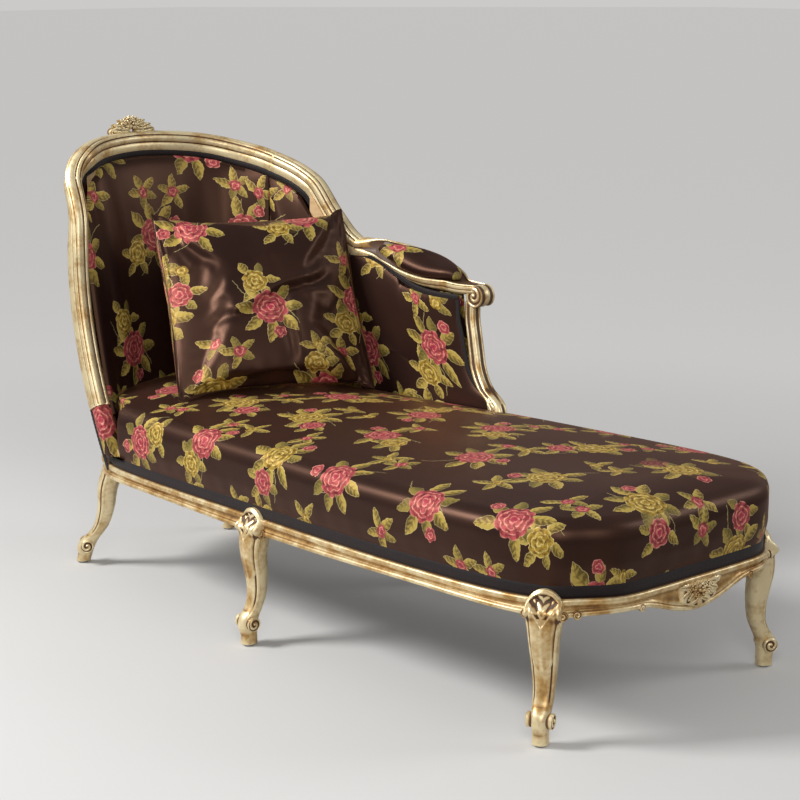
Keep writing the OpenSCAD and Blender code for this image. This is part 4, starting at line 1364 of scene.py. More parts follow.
    def _spray(self, s: Shader, flat: Any) -> list[tuple[Number, Any]]:
        """Sprays of two roses and a bud on leaves and a stem.

        Args:
            s: The shader.
            flat: Place on the cloth.

        Returns:
            Masks and colours, the lowest first.
        """
        x, y, luck, fade = self._cell(s, flat, 1.0, (0.0, 0.0), 0.016)
        warm = luck[3].step(0.42, 0.43)
        stem = (y - (x * 38.0).maths("SINE") * 0.012).maths("ABSOLUTE")
        within = (x.maths("ABSOLUTE") - 0.094).maths("SIGN").maths("MULTIPLY", -1.0).clamp()
        stem = (1 - stem.step(0.0005, 0.0015)) * within
        first, second, third = (0.016, -0.006), (-0.048, 0.034), (0.066, -0.050)
        far, far_paint = self._leaves(s, x, y, second, 6, 0.024, 0.042, 0.0135, luck[4], 0.1)
        near, near_paint = self._leaves(s, x, y, first, 8, 0.033, 0.060, 0.0165, luck[5], 0.6)
        small, small_paint = self._rose(s, x, y, second, 0.031, 1 - warm, 3.0)
        bud, bud_paint = self._rose(s, x, y, third, 0.0165, 1.0, 2.0)
        large, large_paint = self._rose(s, x, y, first, 0.040 + luck[4] * 0.007, warm, 4.0)
        several = luck[1].step(0.22, 0.23)
        return [
            (stem * fade * 0.8, tint("a39a66")),
            (far * fade * several, far_paint),
            (near * fade, near_paint),
            (small * fade * several, small_paint),
            (bud * fade, bud_paint),
            (large * fade, large_paint),
        ]


@dataclass(frozen=True)
class WovenFinish:
    """Plain woven goods: braid, webbing, cambric and calico."""

    name: str
    dark: str
    light: str
    scale: tuple[float, float, float]
    roughness: float = 0.8
    sheen: float = 0.2

    def make(self) -> bpy.types.Material:
        """The material.

        Returns:
            The material.
        """
        s = Shader(self.name)
        uv = s.pattern()
        at = s.node("VectorMath", {"operation": "MULTIPLY"}, {0: uv, 1: self.scale}).outputs[0]
        x, y = s.split(at)
        weave = (x.maths("SINE") * y.maths("SINE")) * 0.5 + 0.5
        fuzz = s.noise(uv, 300.0, 2.0, flat=True)
        s.set(
            Base_Color=s.blend((weave * 0.6 + fuzz * 0.4).clamp(), tint(self.dark), tint(self.light)),
            Roughness=self.roughness + (fuzz - 0.5) * 0.1,
            Normal=s.bump(weave + fuzz * 0.4, 0.4, 0.0008),
            Sheen_Weight=self.sheen,
            Specular_IOR_Level=0.25,
        )
        return s.material


@dataclass(frozen=True)
class BeechFinish:
    """Planed pale beech of the hidden frame."""

    def make(self) -> bpy.types.Material:
        """The material.

        Returns:
            The material.
        """
        s = Shader("planed_beech")
        at = s.place()
        grain = s.noise(s.stretch(at, (3.0, 40.0, 40.0)), 2.2, 4.0)
        fleck = s.noise(s.stretch(at, (20.0, 160.0, 160.0)), 2.0, 1.0)
        tone = (grain * 0.8 + fleck * 0.3 - 0.05).clamp()
        s.set(
            Base_Color=s.blend(tone, tint("a87d4e"), tint("dcbd8e")),
            Roughness=0.55 + fleck * 0.15,
            Normal=s.bump(fleck, 0.15, 0.0005),
        )
        return s.material


@dataclass(frozen=True)
class SteelFinish:
    """Bright steel of the screws and the nailed glides."""

    def make(self) -> bpy.types.Material:
        """The material.

        Returns:
            The material.
        """
        s = Shader("turned_steel")
        worn = s.noise(s.place(), 260.0, 3.0)
        s.set(
            Base_Color=s.blend(worn, tint("77777a"), tint("b9bbbe")),
            Metallic=1.0,
            Roughness=0.28 + worn * 0.2,
            Normal=s.bump(worn, 0.1, 0.0002),
        )
        return s.material


@dataclass(frozen=True)
class FoamFinish:
    """Open-celled foam under the covers."""

    def make(self) -> bpy.types.Material:
        """The material.

        Returns:
            The material.
        """
        s = Shader("seat_foam_cells")
        cell = s.number("TexVoronoi", {}, {"Vector": s.place(), "Scale": 520.0}, "Distance")
        s.set(
            Base_Color=s.blend(cell.clamp(), tint("c9b98d"), tint("efe6c8")),
            Roughness=0.9 + cell * 0.05,
            Normal=s.bump(cell, 0.5, 0.0008),
        )
        return s.material


@dataclass
class Finishes:
    """Every finish, made once."""

    made: dict[Slot, bpy.types.Material] = field(default_factory=dict)

    def __post_init__(self) -> None:
        """Makes each material."""
        self.made = {
            Slot.GILT: GiltFinish().make(),
            Slot.BROCADE: BrocadeFinish().make(),
            Slot.BRAID: WovenFinish("aubergine_braid", "130c0d", "231819", (1900.0, 1500.0, 0.0), 0.6, 0.1).make(),
            Slot.BEECH: BeechFinish().make(),
            Slot.WEBBING: WovenFinish("jute_webbing", "6f5632", "b59a68", (1500.0, 1500.0, 0.0), 0.9).make(),
            Slot.FILLING: FoamFinish().make(),
            Slot.CAMBRIC: WovenFinish("black_cambric", "0d0c0d", "242224", (4000.0, 4000.0, 0.0), 0.85).make(),
            Slot.STEEL: SteelFinish().make(),
        }

    def dress(self, obj: bpy.types.Object, slot: Slot, body: Body, *nodes: str) -> bpy.types.Object:
        """Gives a piece its finish and its body, and hides the nodes that it stands for.

        Args:
            obj: The piece.
            slot: Its finish.
            body: The body that it rides on.
            nodes: The nodes that it replaces.

        Returns:
            The piece.
        """
        obj.data.materials.clear()
        obj.data.materials.append(self.made[slot])
        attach(obj, body.value)
        if nodes:
            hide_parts(*nodes)
        log.info("%s: %d faces", obj.name, len(obj.data.polygons))
        return obj

    def gild(self, obj: bpy.types.Object, node: str) -> None:
        """Smooths, marks and gilds a carved piece.

        Args:
            obj: The piece.
            node: The node that it replaces.
        """
        Bench.smooth(obj, CARVED_ANGLE)
        Bench.mark_carving(obj)
        self.dress(obj, Slot.GILT, Body.CHAISE, node)


# -------------------------------------------------------------------- carving


def chaikin(points: Array, rounds: int = 2, keep: int = 1) -> Array:
    """Polylines with their corners cut, the polyline on the axis before last.

    Args:
        points: Points of the polylines.
        rounds: Rounds of cutting.
        keep: Not used.

    Returns:
        The rounder polylines.
    """
    for _ in range(rounds):
        a, b = points[..., :-1, :], points[..., 1:, :]
        pairs = np.stack([a * 0.75 + b * 0.25, a * 0.25 + b * 0.75], -2)
        merged = pairs.reshape(*points.shape[:-2], -1, points.shape[-1])
        points = np.concatenate([points[..., :1, :], merged, points[..., -1:, :]], -2)
    return points


def resample(points: Array, count: int, closed: bool = False) -> Array:
    """A polyline with evenly spaced points.

    Args:
        points: Points of the polyline.
        count: Number of points that are wanted.
        closed: Whether the last point leads back to the first.

    Returns:
        The points.
    """
    if closed:
        points = np.concatenate([points, points[:1]])
    arc = arc_of(points)
    even = np.linspace(0, arc[-1], count + closed)[:count]
    return np.stack([np.interp(even, arc, points[:, k]) for k in range(points.shape[1])], 1)


def pose(
    origin: Sequence[float],
    x_dir: Sequence[float],
    z_dir: Sequence[float],
    size: float = 1.0,
    flip: bool = False,
) -> Matrix:
    """Place of a model in the frame.

    Args:
        origin: Where its own origin goes, in bench millimetres.
        x_dir: Direction of its x axis.
        z_dir: Direction that its z axis leans towards.
        size: Scale.
        flip: Whether it is mirrored across its x axis.

    Returns:
        The matrix.
    """
    x = Vector(x_dir).normalized()
    z = (Vector(z_dir) - Vector(z_dir).dot(x) * x).normalized()
    y = z.cross(x) * (-1 if flip else 1)
    turn = Matrix((x, y, z)).transposed().to_4x4()
    return Matrix.Translation(Vector(to_frame(np.array(origin, float)))) @ turn @ Matrix.Scale(size, 4)


class Carver:
    """Carved ornaments, each modelled once and copied to its places."""

    @staticmethod
    def volute(radius: float, width: float, turns: float = 1.7, relief: float = 2.6) -> bpy.types.Object:
        """A rolled scroll with its axis along y, in millimetres.

        Args:
            radius: Radius of the roll.
            width: Width of the roll.
            turns: Turns of the spiral on its ends.
            relief: Depth of the spiral.

        Returns:
            The model.
        """
        angle = np.linspace(0, 2 * np.pi, 49)
        r = np.concatenate([np.linspace(0, 1, 16), np.full(9, 1.0), np.linspace(1, 0, 16)])
        y = np.concatenate([np.full(16, -1.0), np.linspace(-0.9, 0.9, 9), np.full(16, 1.0)])
        side = np.concatenate([np.full(16, 1.0), np.full(9, 0.0), np.full(16, 1.0)])
        R, A = np.meshgrid(r, angle, indexing="ij")
        Y, E = np.meshgrid(y, angle, indexing="ij")[0], np.meshgrid(side, angle, indexing="ij")[0]
        ridge = 0.5 + 0.5 * np.cos(2 * np.pi * turns * R - A)
        eye = bell(R, 0.24) * 2.2
        rim = np.clip((R - 0.86) / 0.14, 0, 1) ** 2
        out = (ridge - 1) * relief * (1 - rim) + eye - rim * 2.2
        waist = (1 - E) * (np.cos(Y * np.pi * 2.0) * 0.045 - 0.03)
        rr = radius * (R + waist)
        points = np.stack([rr * np.cos(A), Y * width / 2 + np.sign(Y) * E * out, rr * np.sin(A)], -1)
        return Bench.skin("volute", points / 1000, frame_points=True)

    @staticmethod
    def blossom(radius: float, height: float, petals: int = 5) -> bpy.types.Object:
        """A carved rosette that faces z, in millimetres.

        Args:
            radius: Radius of its petals.
            height: Height of its heart above its back.
            petals: Number of petals.

        Returns:
            The model.
        """
        angle = np.linspace(0, 2 * np.pi, 6 * petals + 1)
        r = np.array([0.0, 0.12, 0.22, 0.28, 0.36, 0.5, 0.66, 0.82, 0.94, 1.0, 0.97, 0.0])
        z = np.array([0.95, 0.92, 0.72, 0.38, 0.42, 0.62, 0.74, 0.72, 0.56, 0.32, 0.0, 0.0])
        R, A = np.meshgrid(r, angle, indexing="ij")
        Z = np.repeat(z[:, None], len(angle), 1)
        lobe = np.abs(np.cos(petals * A / 2))
        far = ease((R - 0.3) / 0.5)
        rr = radius * R * (1 - far * 0.24 * (1 - lobe))
        zz = height * (Z - far * 0.42 * (1 - lobe) ** 1.5 * (Z > 0.1))
        points = np.stack([rr * np.cos(A), rr * np.sin(A), zz], -1)
        return Bench.skin("blossom", points / 1000, frame_points=True)

    @staticmethod
    def leaf(length: float, half: float, curl: float, lobes: float = 3.0) -> bpy.types.Object:
        """A carved leaf that runs along x and faces z, in millimetres.

        Args:
            length: Length from foot to tip.
            half: Greatest half width.
            curl: Height to which the leaf rises and falls again.
            lobes: Number of lobes along each edge.

        Returns:
            The model.
        """
        u = np.linspace(0, 1, 26)
        wide = half * np.sin(np.pi * np.clip(u * 0.9 + 0.1, 0, 1) ** 0.8) ** 0.8
        wide = wide * (1 - 0.2 * np.abs(np.sin(np.pi * lobes * u)) ** 3)
        lift_up = curl * np.sin(np.pi * u * 0.95)
        across = np.array([-1, -0.72, -0.36, -0.12, 0, 0.12, 0.36, 0.72, 1, 0.6, 0, -0.6, -1])
        high = np.array([0, 0.75, 0.95, 0.55, 0.85, 0.55, 0.95, 0.75, 0, -0.5, -0.6, -0.5, 0]) * 0.42
        U, C = np.meshgrid(u, across, indexing="ij")
        points = np.stack(
            [U * length, C * wide[:, None], lift_up[:, None] + high[None] * wide[:, None]], -1
        )
        return Bench.skin("leaf", points / 1000, frame_points=True)

    @staticmethod
    def plate(
        outline: Array, relief: Callable[[Array, Array, Array], Array], depth: float, steps: int = 22
    ) -> bpy.types.Object:
        """A carved plate in the yz plane that faces x, in millimetres.

        Args:
            outline: Closed outline as y and z.
            relief: Height of the carving at y, z and the share from middle to edge.
            depth: Thickness behind the carving.
            steps: Rings from the edge to the middle.

        Returns:
            The model.
        """
        middle = (outline.max(0) + outline.min(0)) / 2
        edge = np.concatenate([outline, outline[:1]])
        shares = np.concatenate([[0.0, 1.0], np.linspace(1, 0, steps) ** 0.9])
        rows = []
        for k, share in enumerate(shares):
            yz = middle + (edge - middle) * share
            x = relief(yz[:, 0], yz[:, 1], np.full(len(yz), share)) if k > 1 else np.full(len(yz), -depth)
            rows.append(np.stack([x, yz[:, 0], yz[:, 1]], -1))
        return Bench.skin("plate", np.array(rows) / 1000, frame_points=True)


# ---------------------------------------------------------------- seat frame


@dataclass
class SeatFrame:
    """The six gilt seat rails and the carved apron under the foot end."""

    finishes: Finishes
    size: Sizes = SIZES
    plan: SeatPlan = PLAN
    apron_w: float = 120
    apron_h: float = 56
    shown_top: float = 284
    fine: int = 40
    coarse: int = 24

    def drop(self, s: Any) -> Array:
        """Extra depth of a rail's lower edge at stations s.

        Args:
            s: Stations.

        Returns:
            The depths in millimetres.
        """
        w = np.abs(self.plan.wrap(s))
        end = self.plan.loop / 2
        foot = self.size.apron_drop * np.clip(np.cos(np.radians((end - w) * 62)), 0, None) ** 2
        foot = foot + 6 * np.sin(np.radians((w - 13) * 45)) ** 2
        return np.where(w > self.plan.foot_leg, foot, 5 * np.cos(np.radians((w - 3) * 45)) ** 2)

    def rings(self, s: Array) -> Array:
        """Moulded sections of a rail at stations s, in bench millimetres.

        Args:
            s: Stations.

        Returns:
            A ring of points for each station.
        """
        z, low = self.size, self.size.rail_low - self.drop(s)
        top = np.full_like(low, self.shown_top)
        shown = [
            (12, low + 1), (4, low), (0.2, low + 2.2), (-0.4, low + 5.5), (0.4, low + 9),
            (3.6, low + 10.6), (3.8, low + 12.0), (2.6, low + 12.8), (5.6, mix(low, top, 0.42)),
            (6.6, top - 20), (6.2, top - 16), (4.2, top - 13.5), (3.9, top - 12.6),
            (0.6, top - 12.2), (-1.6, top - 9.5), (-2.1, top - 6), (-1.2, top - 2), (1.5, top - 0.2),
            (5, top),
        ]  # fmt: skip
        line = chaikin(np.stack([np.stack([np.full_like(low, d), h], -1) for d, h in shown], 1), 2)
        rebate = np.full_like(low, z.rebate_top)
        hidden = [(z.rebate_step, top), (z.rebate_step, rebate), (z.rail_thick, rebate), (z.rail_thick, low + 2)]
        rest = np.stack([np.stack([np.full_like(low, d), h], -1) for d, h in hidden], 1)
        ring = np.concatenate([line, rest], 1)
        plan = self.plan.inset(s[:, None], ring[..., 0])
        return np.concatenate([plan, ring[..., 1:]], -1)

    def build(self) -> None:
        """Builds and dresses the rails and the apron carving."""
        p = self.plan
        ends = (
            (-p.rear_leg, p.rear_leg, "rail_rear"),
            (p.rear_leg, p.mid_leg, "rail_right_rear"),
            (p.mid_leg, p.foot_leg, "rail_right_front"),
            (p.foot_leg, p.loop - p.foot_leg, "rail_foot"),
            (p.loop - p.foot_leg, p.loop - p.mid_leg, "rail_left_front"),
            (p.loop - p.mid_leg, p.loop - p.rear_leg, "rail_left_rear"),
        )
        for low, high, node in ends:
            carved = node == "rail_foot"
            count = int((high - low) * (self.fine if carved else self.coarse)) + 1
            rail = Bench.tube("gilt_" + node, self.rings(np.linspace(low, high, count)))
            parts = [rail, *self.ears()] if carved else [rail]
            self.finishes.gild(Bench.join("gilt_" + node, parts), node)
        self.finishes.gild(self.apron(), "apron_carving")

    def ears(self) -> list[bpy.types.Object]:
        """Small scrolls along the lower edge of the foot rail.

        Returns:
            The scrolls.
        """
        model = Carver.volute(8.5, 13, 1.4, 1.8)
        made = []
        for s, up, size in ((11.75, 5.5, 1.0), (18.25, 5.5, 1.0), (13.55, 3.0, 0.85), (16.45, 3.0, 0.85)):
            p, n = self.plan.inset(s, 3.5), self.plan.normal(s)
            low = self.size.rail_low - float(self.drop(s)) + up
            along = (-n[1], n[0], 0)
            made.append(Bench.copy(model, pose((*p, low), along, (0, 0, 1), size)))
        Bench.discard(model)
        return made

    def apron(self) -> bpy.types.Object:
        """Carved shell with blossoms and leaves on the foot rail.

        Returns:
            The carving.
        """
        z = self.size
        a = np.radians(np.arange(0, 360, 5.0))
        lobes = 1 - 0.09 * np.abs(np.cos(a * 3))
        below = self.apron_h - 10
        y = self.apron_w / 2 * lobes * np.cos(a)
        h = np.where(np.sin(a) < 0, below * lobes * np.abs(np.sin(a)) ** 0.75, 9 * np.sin(a) ** 0.8)
        outline = np.stack([y, np.where(np.sin(a) < 0, -h, h)], -1)

        def relief(y: Array, h: Array, share: Array) -> Array:
            """Fan of flutes below a raised border.

            Args:
                y: Places across.
                h: Heights.
                share: Shares of the way from middle to edge.

            Returns:
                Heights of the carving.
            """
            fan = np.arctan2(y, -(h - 14))
            flutes = np.abs(np.cos(fan * 6.5)) * 3.0
            border = bell(share - 0.9, 0.06) * 2.2
            return -1.5 + flutes * (share < 0.86) * ease(share / 0.4) + border - ease((share - 0.93) / 0.07) * 4

        plate = Carver.plate(outline, relief, 12)
        home = pose((z.seat_len + 3.5, 0, z.rail_top - 24), (1, 0, 0), (0, 0, 1))
        parts = [Bench.copy(plate, home)]
        blossom, leaf, berry = Carver.blossom(11, 9), Carver.leaf(34, 8, 3), Carver.blossom(4.5, 5, 4)
        front = z.seat_len + 5
        flowers = ((0, -28, 1.0), (-21, -24, 0.78), (21, -24, 0.78), (-11, -41, 0.6), (11, -41, 0.6))
        leaves = (
            (30, -22, 1, 0.12, 1.0),
            (28, -30, 1, -0.35, 0.85),
            (18, -36, 0.9, -0.6, 0.7),
            (6, -50, 0.7, -0.25, 0.6),
        )
        for y, h, size in flowers:
            at = (front - abs(y) * 0.05, y, z.rail_top + h)
            parts.append(Bench.copy(blossom, pose(at, (0, 1, 0), (1, 0, 0.1), size)))
        for side in (-1, 1):
            for y, h, dy, dz, size in leaves:
                at = (front - 1, side * y, z.rail_top + h)
                parts.append(Bench.copy(leaf, pose(at, (0, side * dy, dz), (1, 0, 0), size, side < 0)))
            for y, h in ((12, -20), (32, -26), (22, -38), (5, -20)):
                at = (front + 1, side * y, z.rail_top + h)
                parts.append(Bench.copy(berry, pose(at, (0, 1, 0), (1, 0, 0))))
        Bench.discard(plate, blossom, leaf, berry)
        return Bench.join("gilt_apron_carving", parts)


@dataclass
class Leg:
    """One cabriole leg with its carved knee and scrolled toe."""

    finishes: Finishes
    name: str
    station: float
    size: Sizes = SIZES
    plan: SeatPlan = PLAN
    sides: int = 56
    levels: int = 84
    plain_back: float = 14
    stout: float = 72
    toe_h: float = 51.0
    toe_share: float = 0.73

    @property
    def is_rear(self) -> bool:
        """Whether the leg is one of the two plain rear ones."""
        return abs(self.station) <= self.plan.rear_leg

    @cached_property
    def rows(self) -> Rows:
        """Outward place, depth and width from toe to knee.

        Returns:
            The curves through them.
        """
        r, a = self.size.toe_reach, self.size.ankle
        return Rows(
            [
                (0, r, a + 3, a + 1), (0.08, r, a + 4, a), (0.16, r + 3, a + 12, a + 2),
                (0.24, r - 1, a + 11, a + 5), (0.31, r - 11, a + 5, a + 8), (0.42, r - 21, a + 6, a + 11),
                (0.6, r - 22, a + 12, a + 19), (0.8, r - 16, a + 20, a + 28),
                (0.9, r - 17, a + 25, a + 34), (0.96, r - 19, a + 26, self.stout - 2),
                (1, r - 20, a + 26, self.stout - 1),
            ]
        )  # fmt: skip

    @property
    def rake(self) -> Array:
        """How far the foot stands back and inwards, in the leg's own frame.

        Returns:
            Distances outwards and along the rim.
        """
        if not self.is_rear:
            return np.zeros(2)
        n, back = self.plan.normal(self.station), self.size.rear_rake
        inwards = 20 * math.copysign(1, self.station)
        return np.array([-back * n[0] - inwards * n[1], back * n[1] - inwards * n[0]])

    def to_bench(self, points: Array) -> Array:
        """Points of the leg's own frame as bench points.

        Args:
            points: Distances outwards, along the rim and up.

        Returns:
            The points in the bench frame.
        """
        p, n = self.plan.rim(self.station), self.plan.normal(self.station)
        x, y = points[..., 0:1], points[..., 1:2]
        return np.concatenate([p + x * n + y * np.array([-n[1], n[0]]), points[..., 2:]], -1)

    def stem(self) -> bpy.types.Object:
        """The curved leg from the glide to the rail.

        Returns:
            The stem.
        """
        z, back = self.size, self.plain_back if self.is_rear else 0.0
        t = np.linspace(0, 1, self.levels)
        row = self.rows.at(t)
        mid = row[:, 0] - back * t * t
        depth = row[:, 1] - back * 0.4 * t * t
        width = np.minimum(self.stout, row[:, 2])
        lean = self.rake[None] * ((1 - t) ** 1.5)[:, None]
        a = 2 * np.pi * (np.arange(self.sides) + 0.5) / self.sides
        ca, sa = sign_pow(np.cos(a), 0.8), sign_pow(np.sin(a), 0.8)
        fade = ease((t - 0.3) / 0.1)
        groove = sum(bell(a - c, 0.1) for c in (0.8, 2 * np.pi - 0.8))
        rim = sum(bell(a - c, 0.12) for c in (1.08, 2 * np.pi - 1.08))
        shape = 1 - fade[:, None] * (0.1 * groove - 0.03 * rim)[None]
        points = np.stack(
            [
                (mid + lean[:, 0])[:, None] + depth[:, None] / 2 * ca * shape,
                lean[:, 1][:, None] + width[:, None] / 2 * sa * shape,
                np.repeat(mix(z.glide_t, z.rail_low - 2.5, t)[:, None], self.sides, 1),
            ],
            -1,
        )
        return Bench.tube("stem", self.to_bench(points))

    def block(self) -> bpy.types.Object:
        """The block that joins the leg to the rails, its edges bevelled.

        Returns:
            The block.
        """
        z, face = self.size, self.plain_back if self.is_rear else 0.0
        Bench.deselect()
        bpy.ops.mesh.primitive_cube_add(size=1)
        obj = bpy.context.object
        obj.name = "block"
        low, high = z.rail_low - 3.0, z.rail_top - 6.5
        local = Bench.coords(obj) * np.array([z.block_d - face, self.stout - 2, high - low])
        local = local + np.array([-(z.block_d + face) / 2, 0, (low + high) / 2])
        Bench.move(obj, to_frame(self.to_bench(local)))
        Bench.modify(obj, "BEVEL", width=0.0015, segments=2)
        return obj

    def toe(self) -> bpy.types.Object:
        """The scroll over the foot.

        Returns:
            The scroll.
        """
        model = Carver.volute(15.5, 55, 1.5, 3.0)
        out, along = self.rake * self.toe_share
        p = self.to_bench(np.array([[self.size.toe_reach + 3 + out, along, self.toe_h]]))[0]
        n = self.plan.normal(self.station)
        made = Bench.copy(model, pose(p, (*n, 0), (0, 0, 1)))
        Bench.discard(model)
        return made

    def front(self, y: Array, h: Array) -> Array:
        """Outward place of the leg's front at places across it and heights.

        Args:
            y: Places across.
            h: Heights.

        Returns:
            Places outwards.
        """
        low, high = self.size.glide_t, self.size.rail_low - 2.5
        t = np.clip((h - low) / (high - low), 0, 1)
        row = self.rows.at(t)
        sine = np.clip(np.abs(y) / (row[:, 2] / 2), 0, 0.96) ** 1.25
        return row[:, 0] + row[:, 1] / 2 * np.sqrt(1 - sine**2) ** 0.8

    def knee(self) -> list[bpy.types.Object]:
        """The carved shield of the knee, from its arch down the front of the leg.

        Returns:
            The shield and its two ears.
        """
        z, w, low = self.size, self.stout / 2, self.size.rail_low
        arch = z.rail_top + z.arch_h
        right = np.array(
            [
                (0, arch), (w * 0.25, arch - 1), (w * 0.55, arch - 6), (w * 0.86, z.rail_top - 4),
                (w, z.rail_top - 13), (w, low + 8), (w * 0.97, low - 14), (w * 0.84, low - 34),
                (w * 0.74, low - 60), (w * 0.6, low - 84), (w * 0.4, low - 104), (0, low - 116),
            ]
        )  # fmt: skip
        left = right[-2:0:-1] * np.array([-1, 1])
        outline = resample(chaikin(np.concatenate([right, left, right[:1]]), 2)[:-1], 132, closed=True)

        def relief(y: Array, h: Array, share: Array) -> Array:
            """A leaf in a pointed recess, and a groove down each side.

            Args:
                y: Places across.
                h: Heights.
                share: Shares of the way from middle to edge.

            Returns:
                Heights of the carving.
            """
            ahead = self.front(0 * y, 0 * h + low - 4)
            base = mix(ahead + 0 * y, self.front(y, h) + 1.2, ease((low + 6 - h) / 16))
            base = mix(base, 3.0 + 0 * y, ease((h - low - 6) / 26))
            top = ease((h - low + 12) / 30)
            edge = ease((share - 0.93) / 0.07) * (5.0 * top + 1.2 * (1 - top))
            inside = ease(((h - low + 20) * 0.62 - np.abs(y)) / 3) * (1 - ease((share - 0.87) / 0.05))
            fan = np.arctan2(y, h - low + 30)
            leaves = np.abs(np.cos(fan * 6.5)) ** 0.8 * 4.2 + 0.9 * np.cos(h * 0.4 - np.abs(y) * 0.3)
            half = np.where(h > low - 4, w, 0.5 * self.rows.at(np.clip((h - z.glide_t) / (low - 6.5), 0, 1))[:, 2])
            ratio = np.abs(y) / half
            length = ease((low + 22 - h) / 14) * ease((h - low + 150) / 60)
            groove = bell(ratio - 0.77, 0.075) * 3.2 * length
            rib = bell(y, 5.0) * ease((low - 12 - h) / 20)
            return base + 2.6 * top - edge + rib - groove + inside * (leaves - 6.2)

        plate = Carver.plate(outline, relief, 7, 40)
        p, n = self.plan.rim(self.station), self.plan.normal(self.station)
        parts = [Bench.copy(plate, pose((*p, 0), (*n, 0), (0, 0, 1)))]
        ear = Carver.volute(8.5, 14, 1.3, 1.6)
        for side in (-1, 1):
            at = self.to_bench(np.array([[-3.0, side * (w + 1), low + 1.0]]))[0]
            along = (-n[1] * side, n[0] * side, 0)
            parts.append(Bench.copy(ear, pose(at, along, (0, 0, 1), 1.0, side < 0)))
        Bench.discard(plate, ear)
        return parts

    def build(self) -> None:
        """Builds, joins and gilds the leg."""
        parts = [self.stem(), self.block(), self.toe()]
        if not self.is_rear:
            parts += self.knee()
        self.finishes.gild(Bench.join("gilt_" + self.name, parts), self.name)


# ------------------------------------------------------------------ show-wood


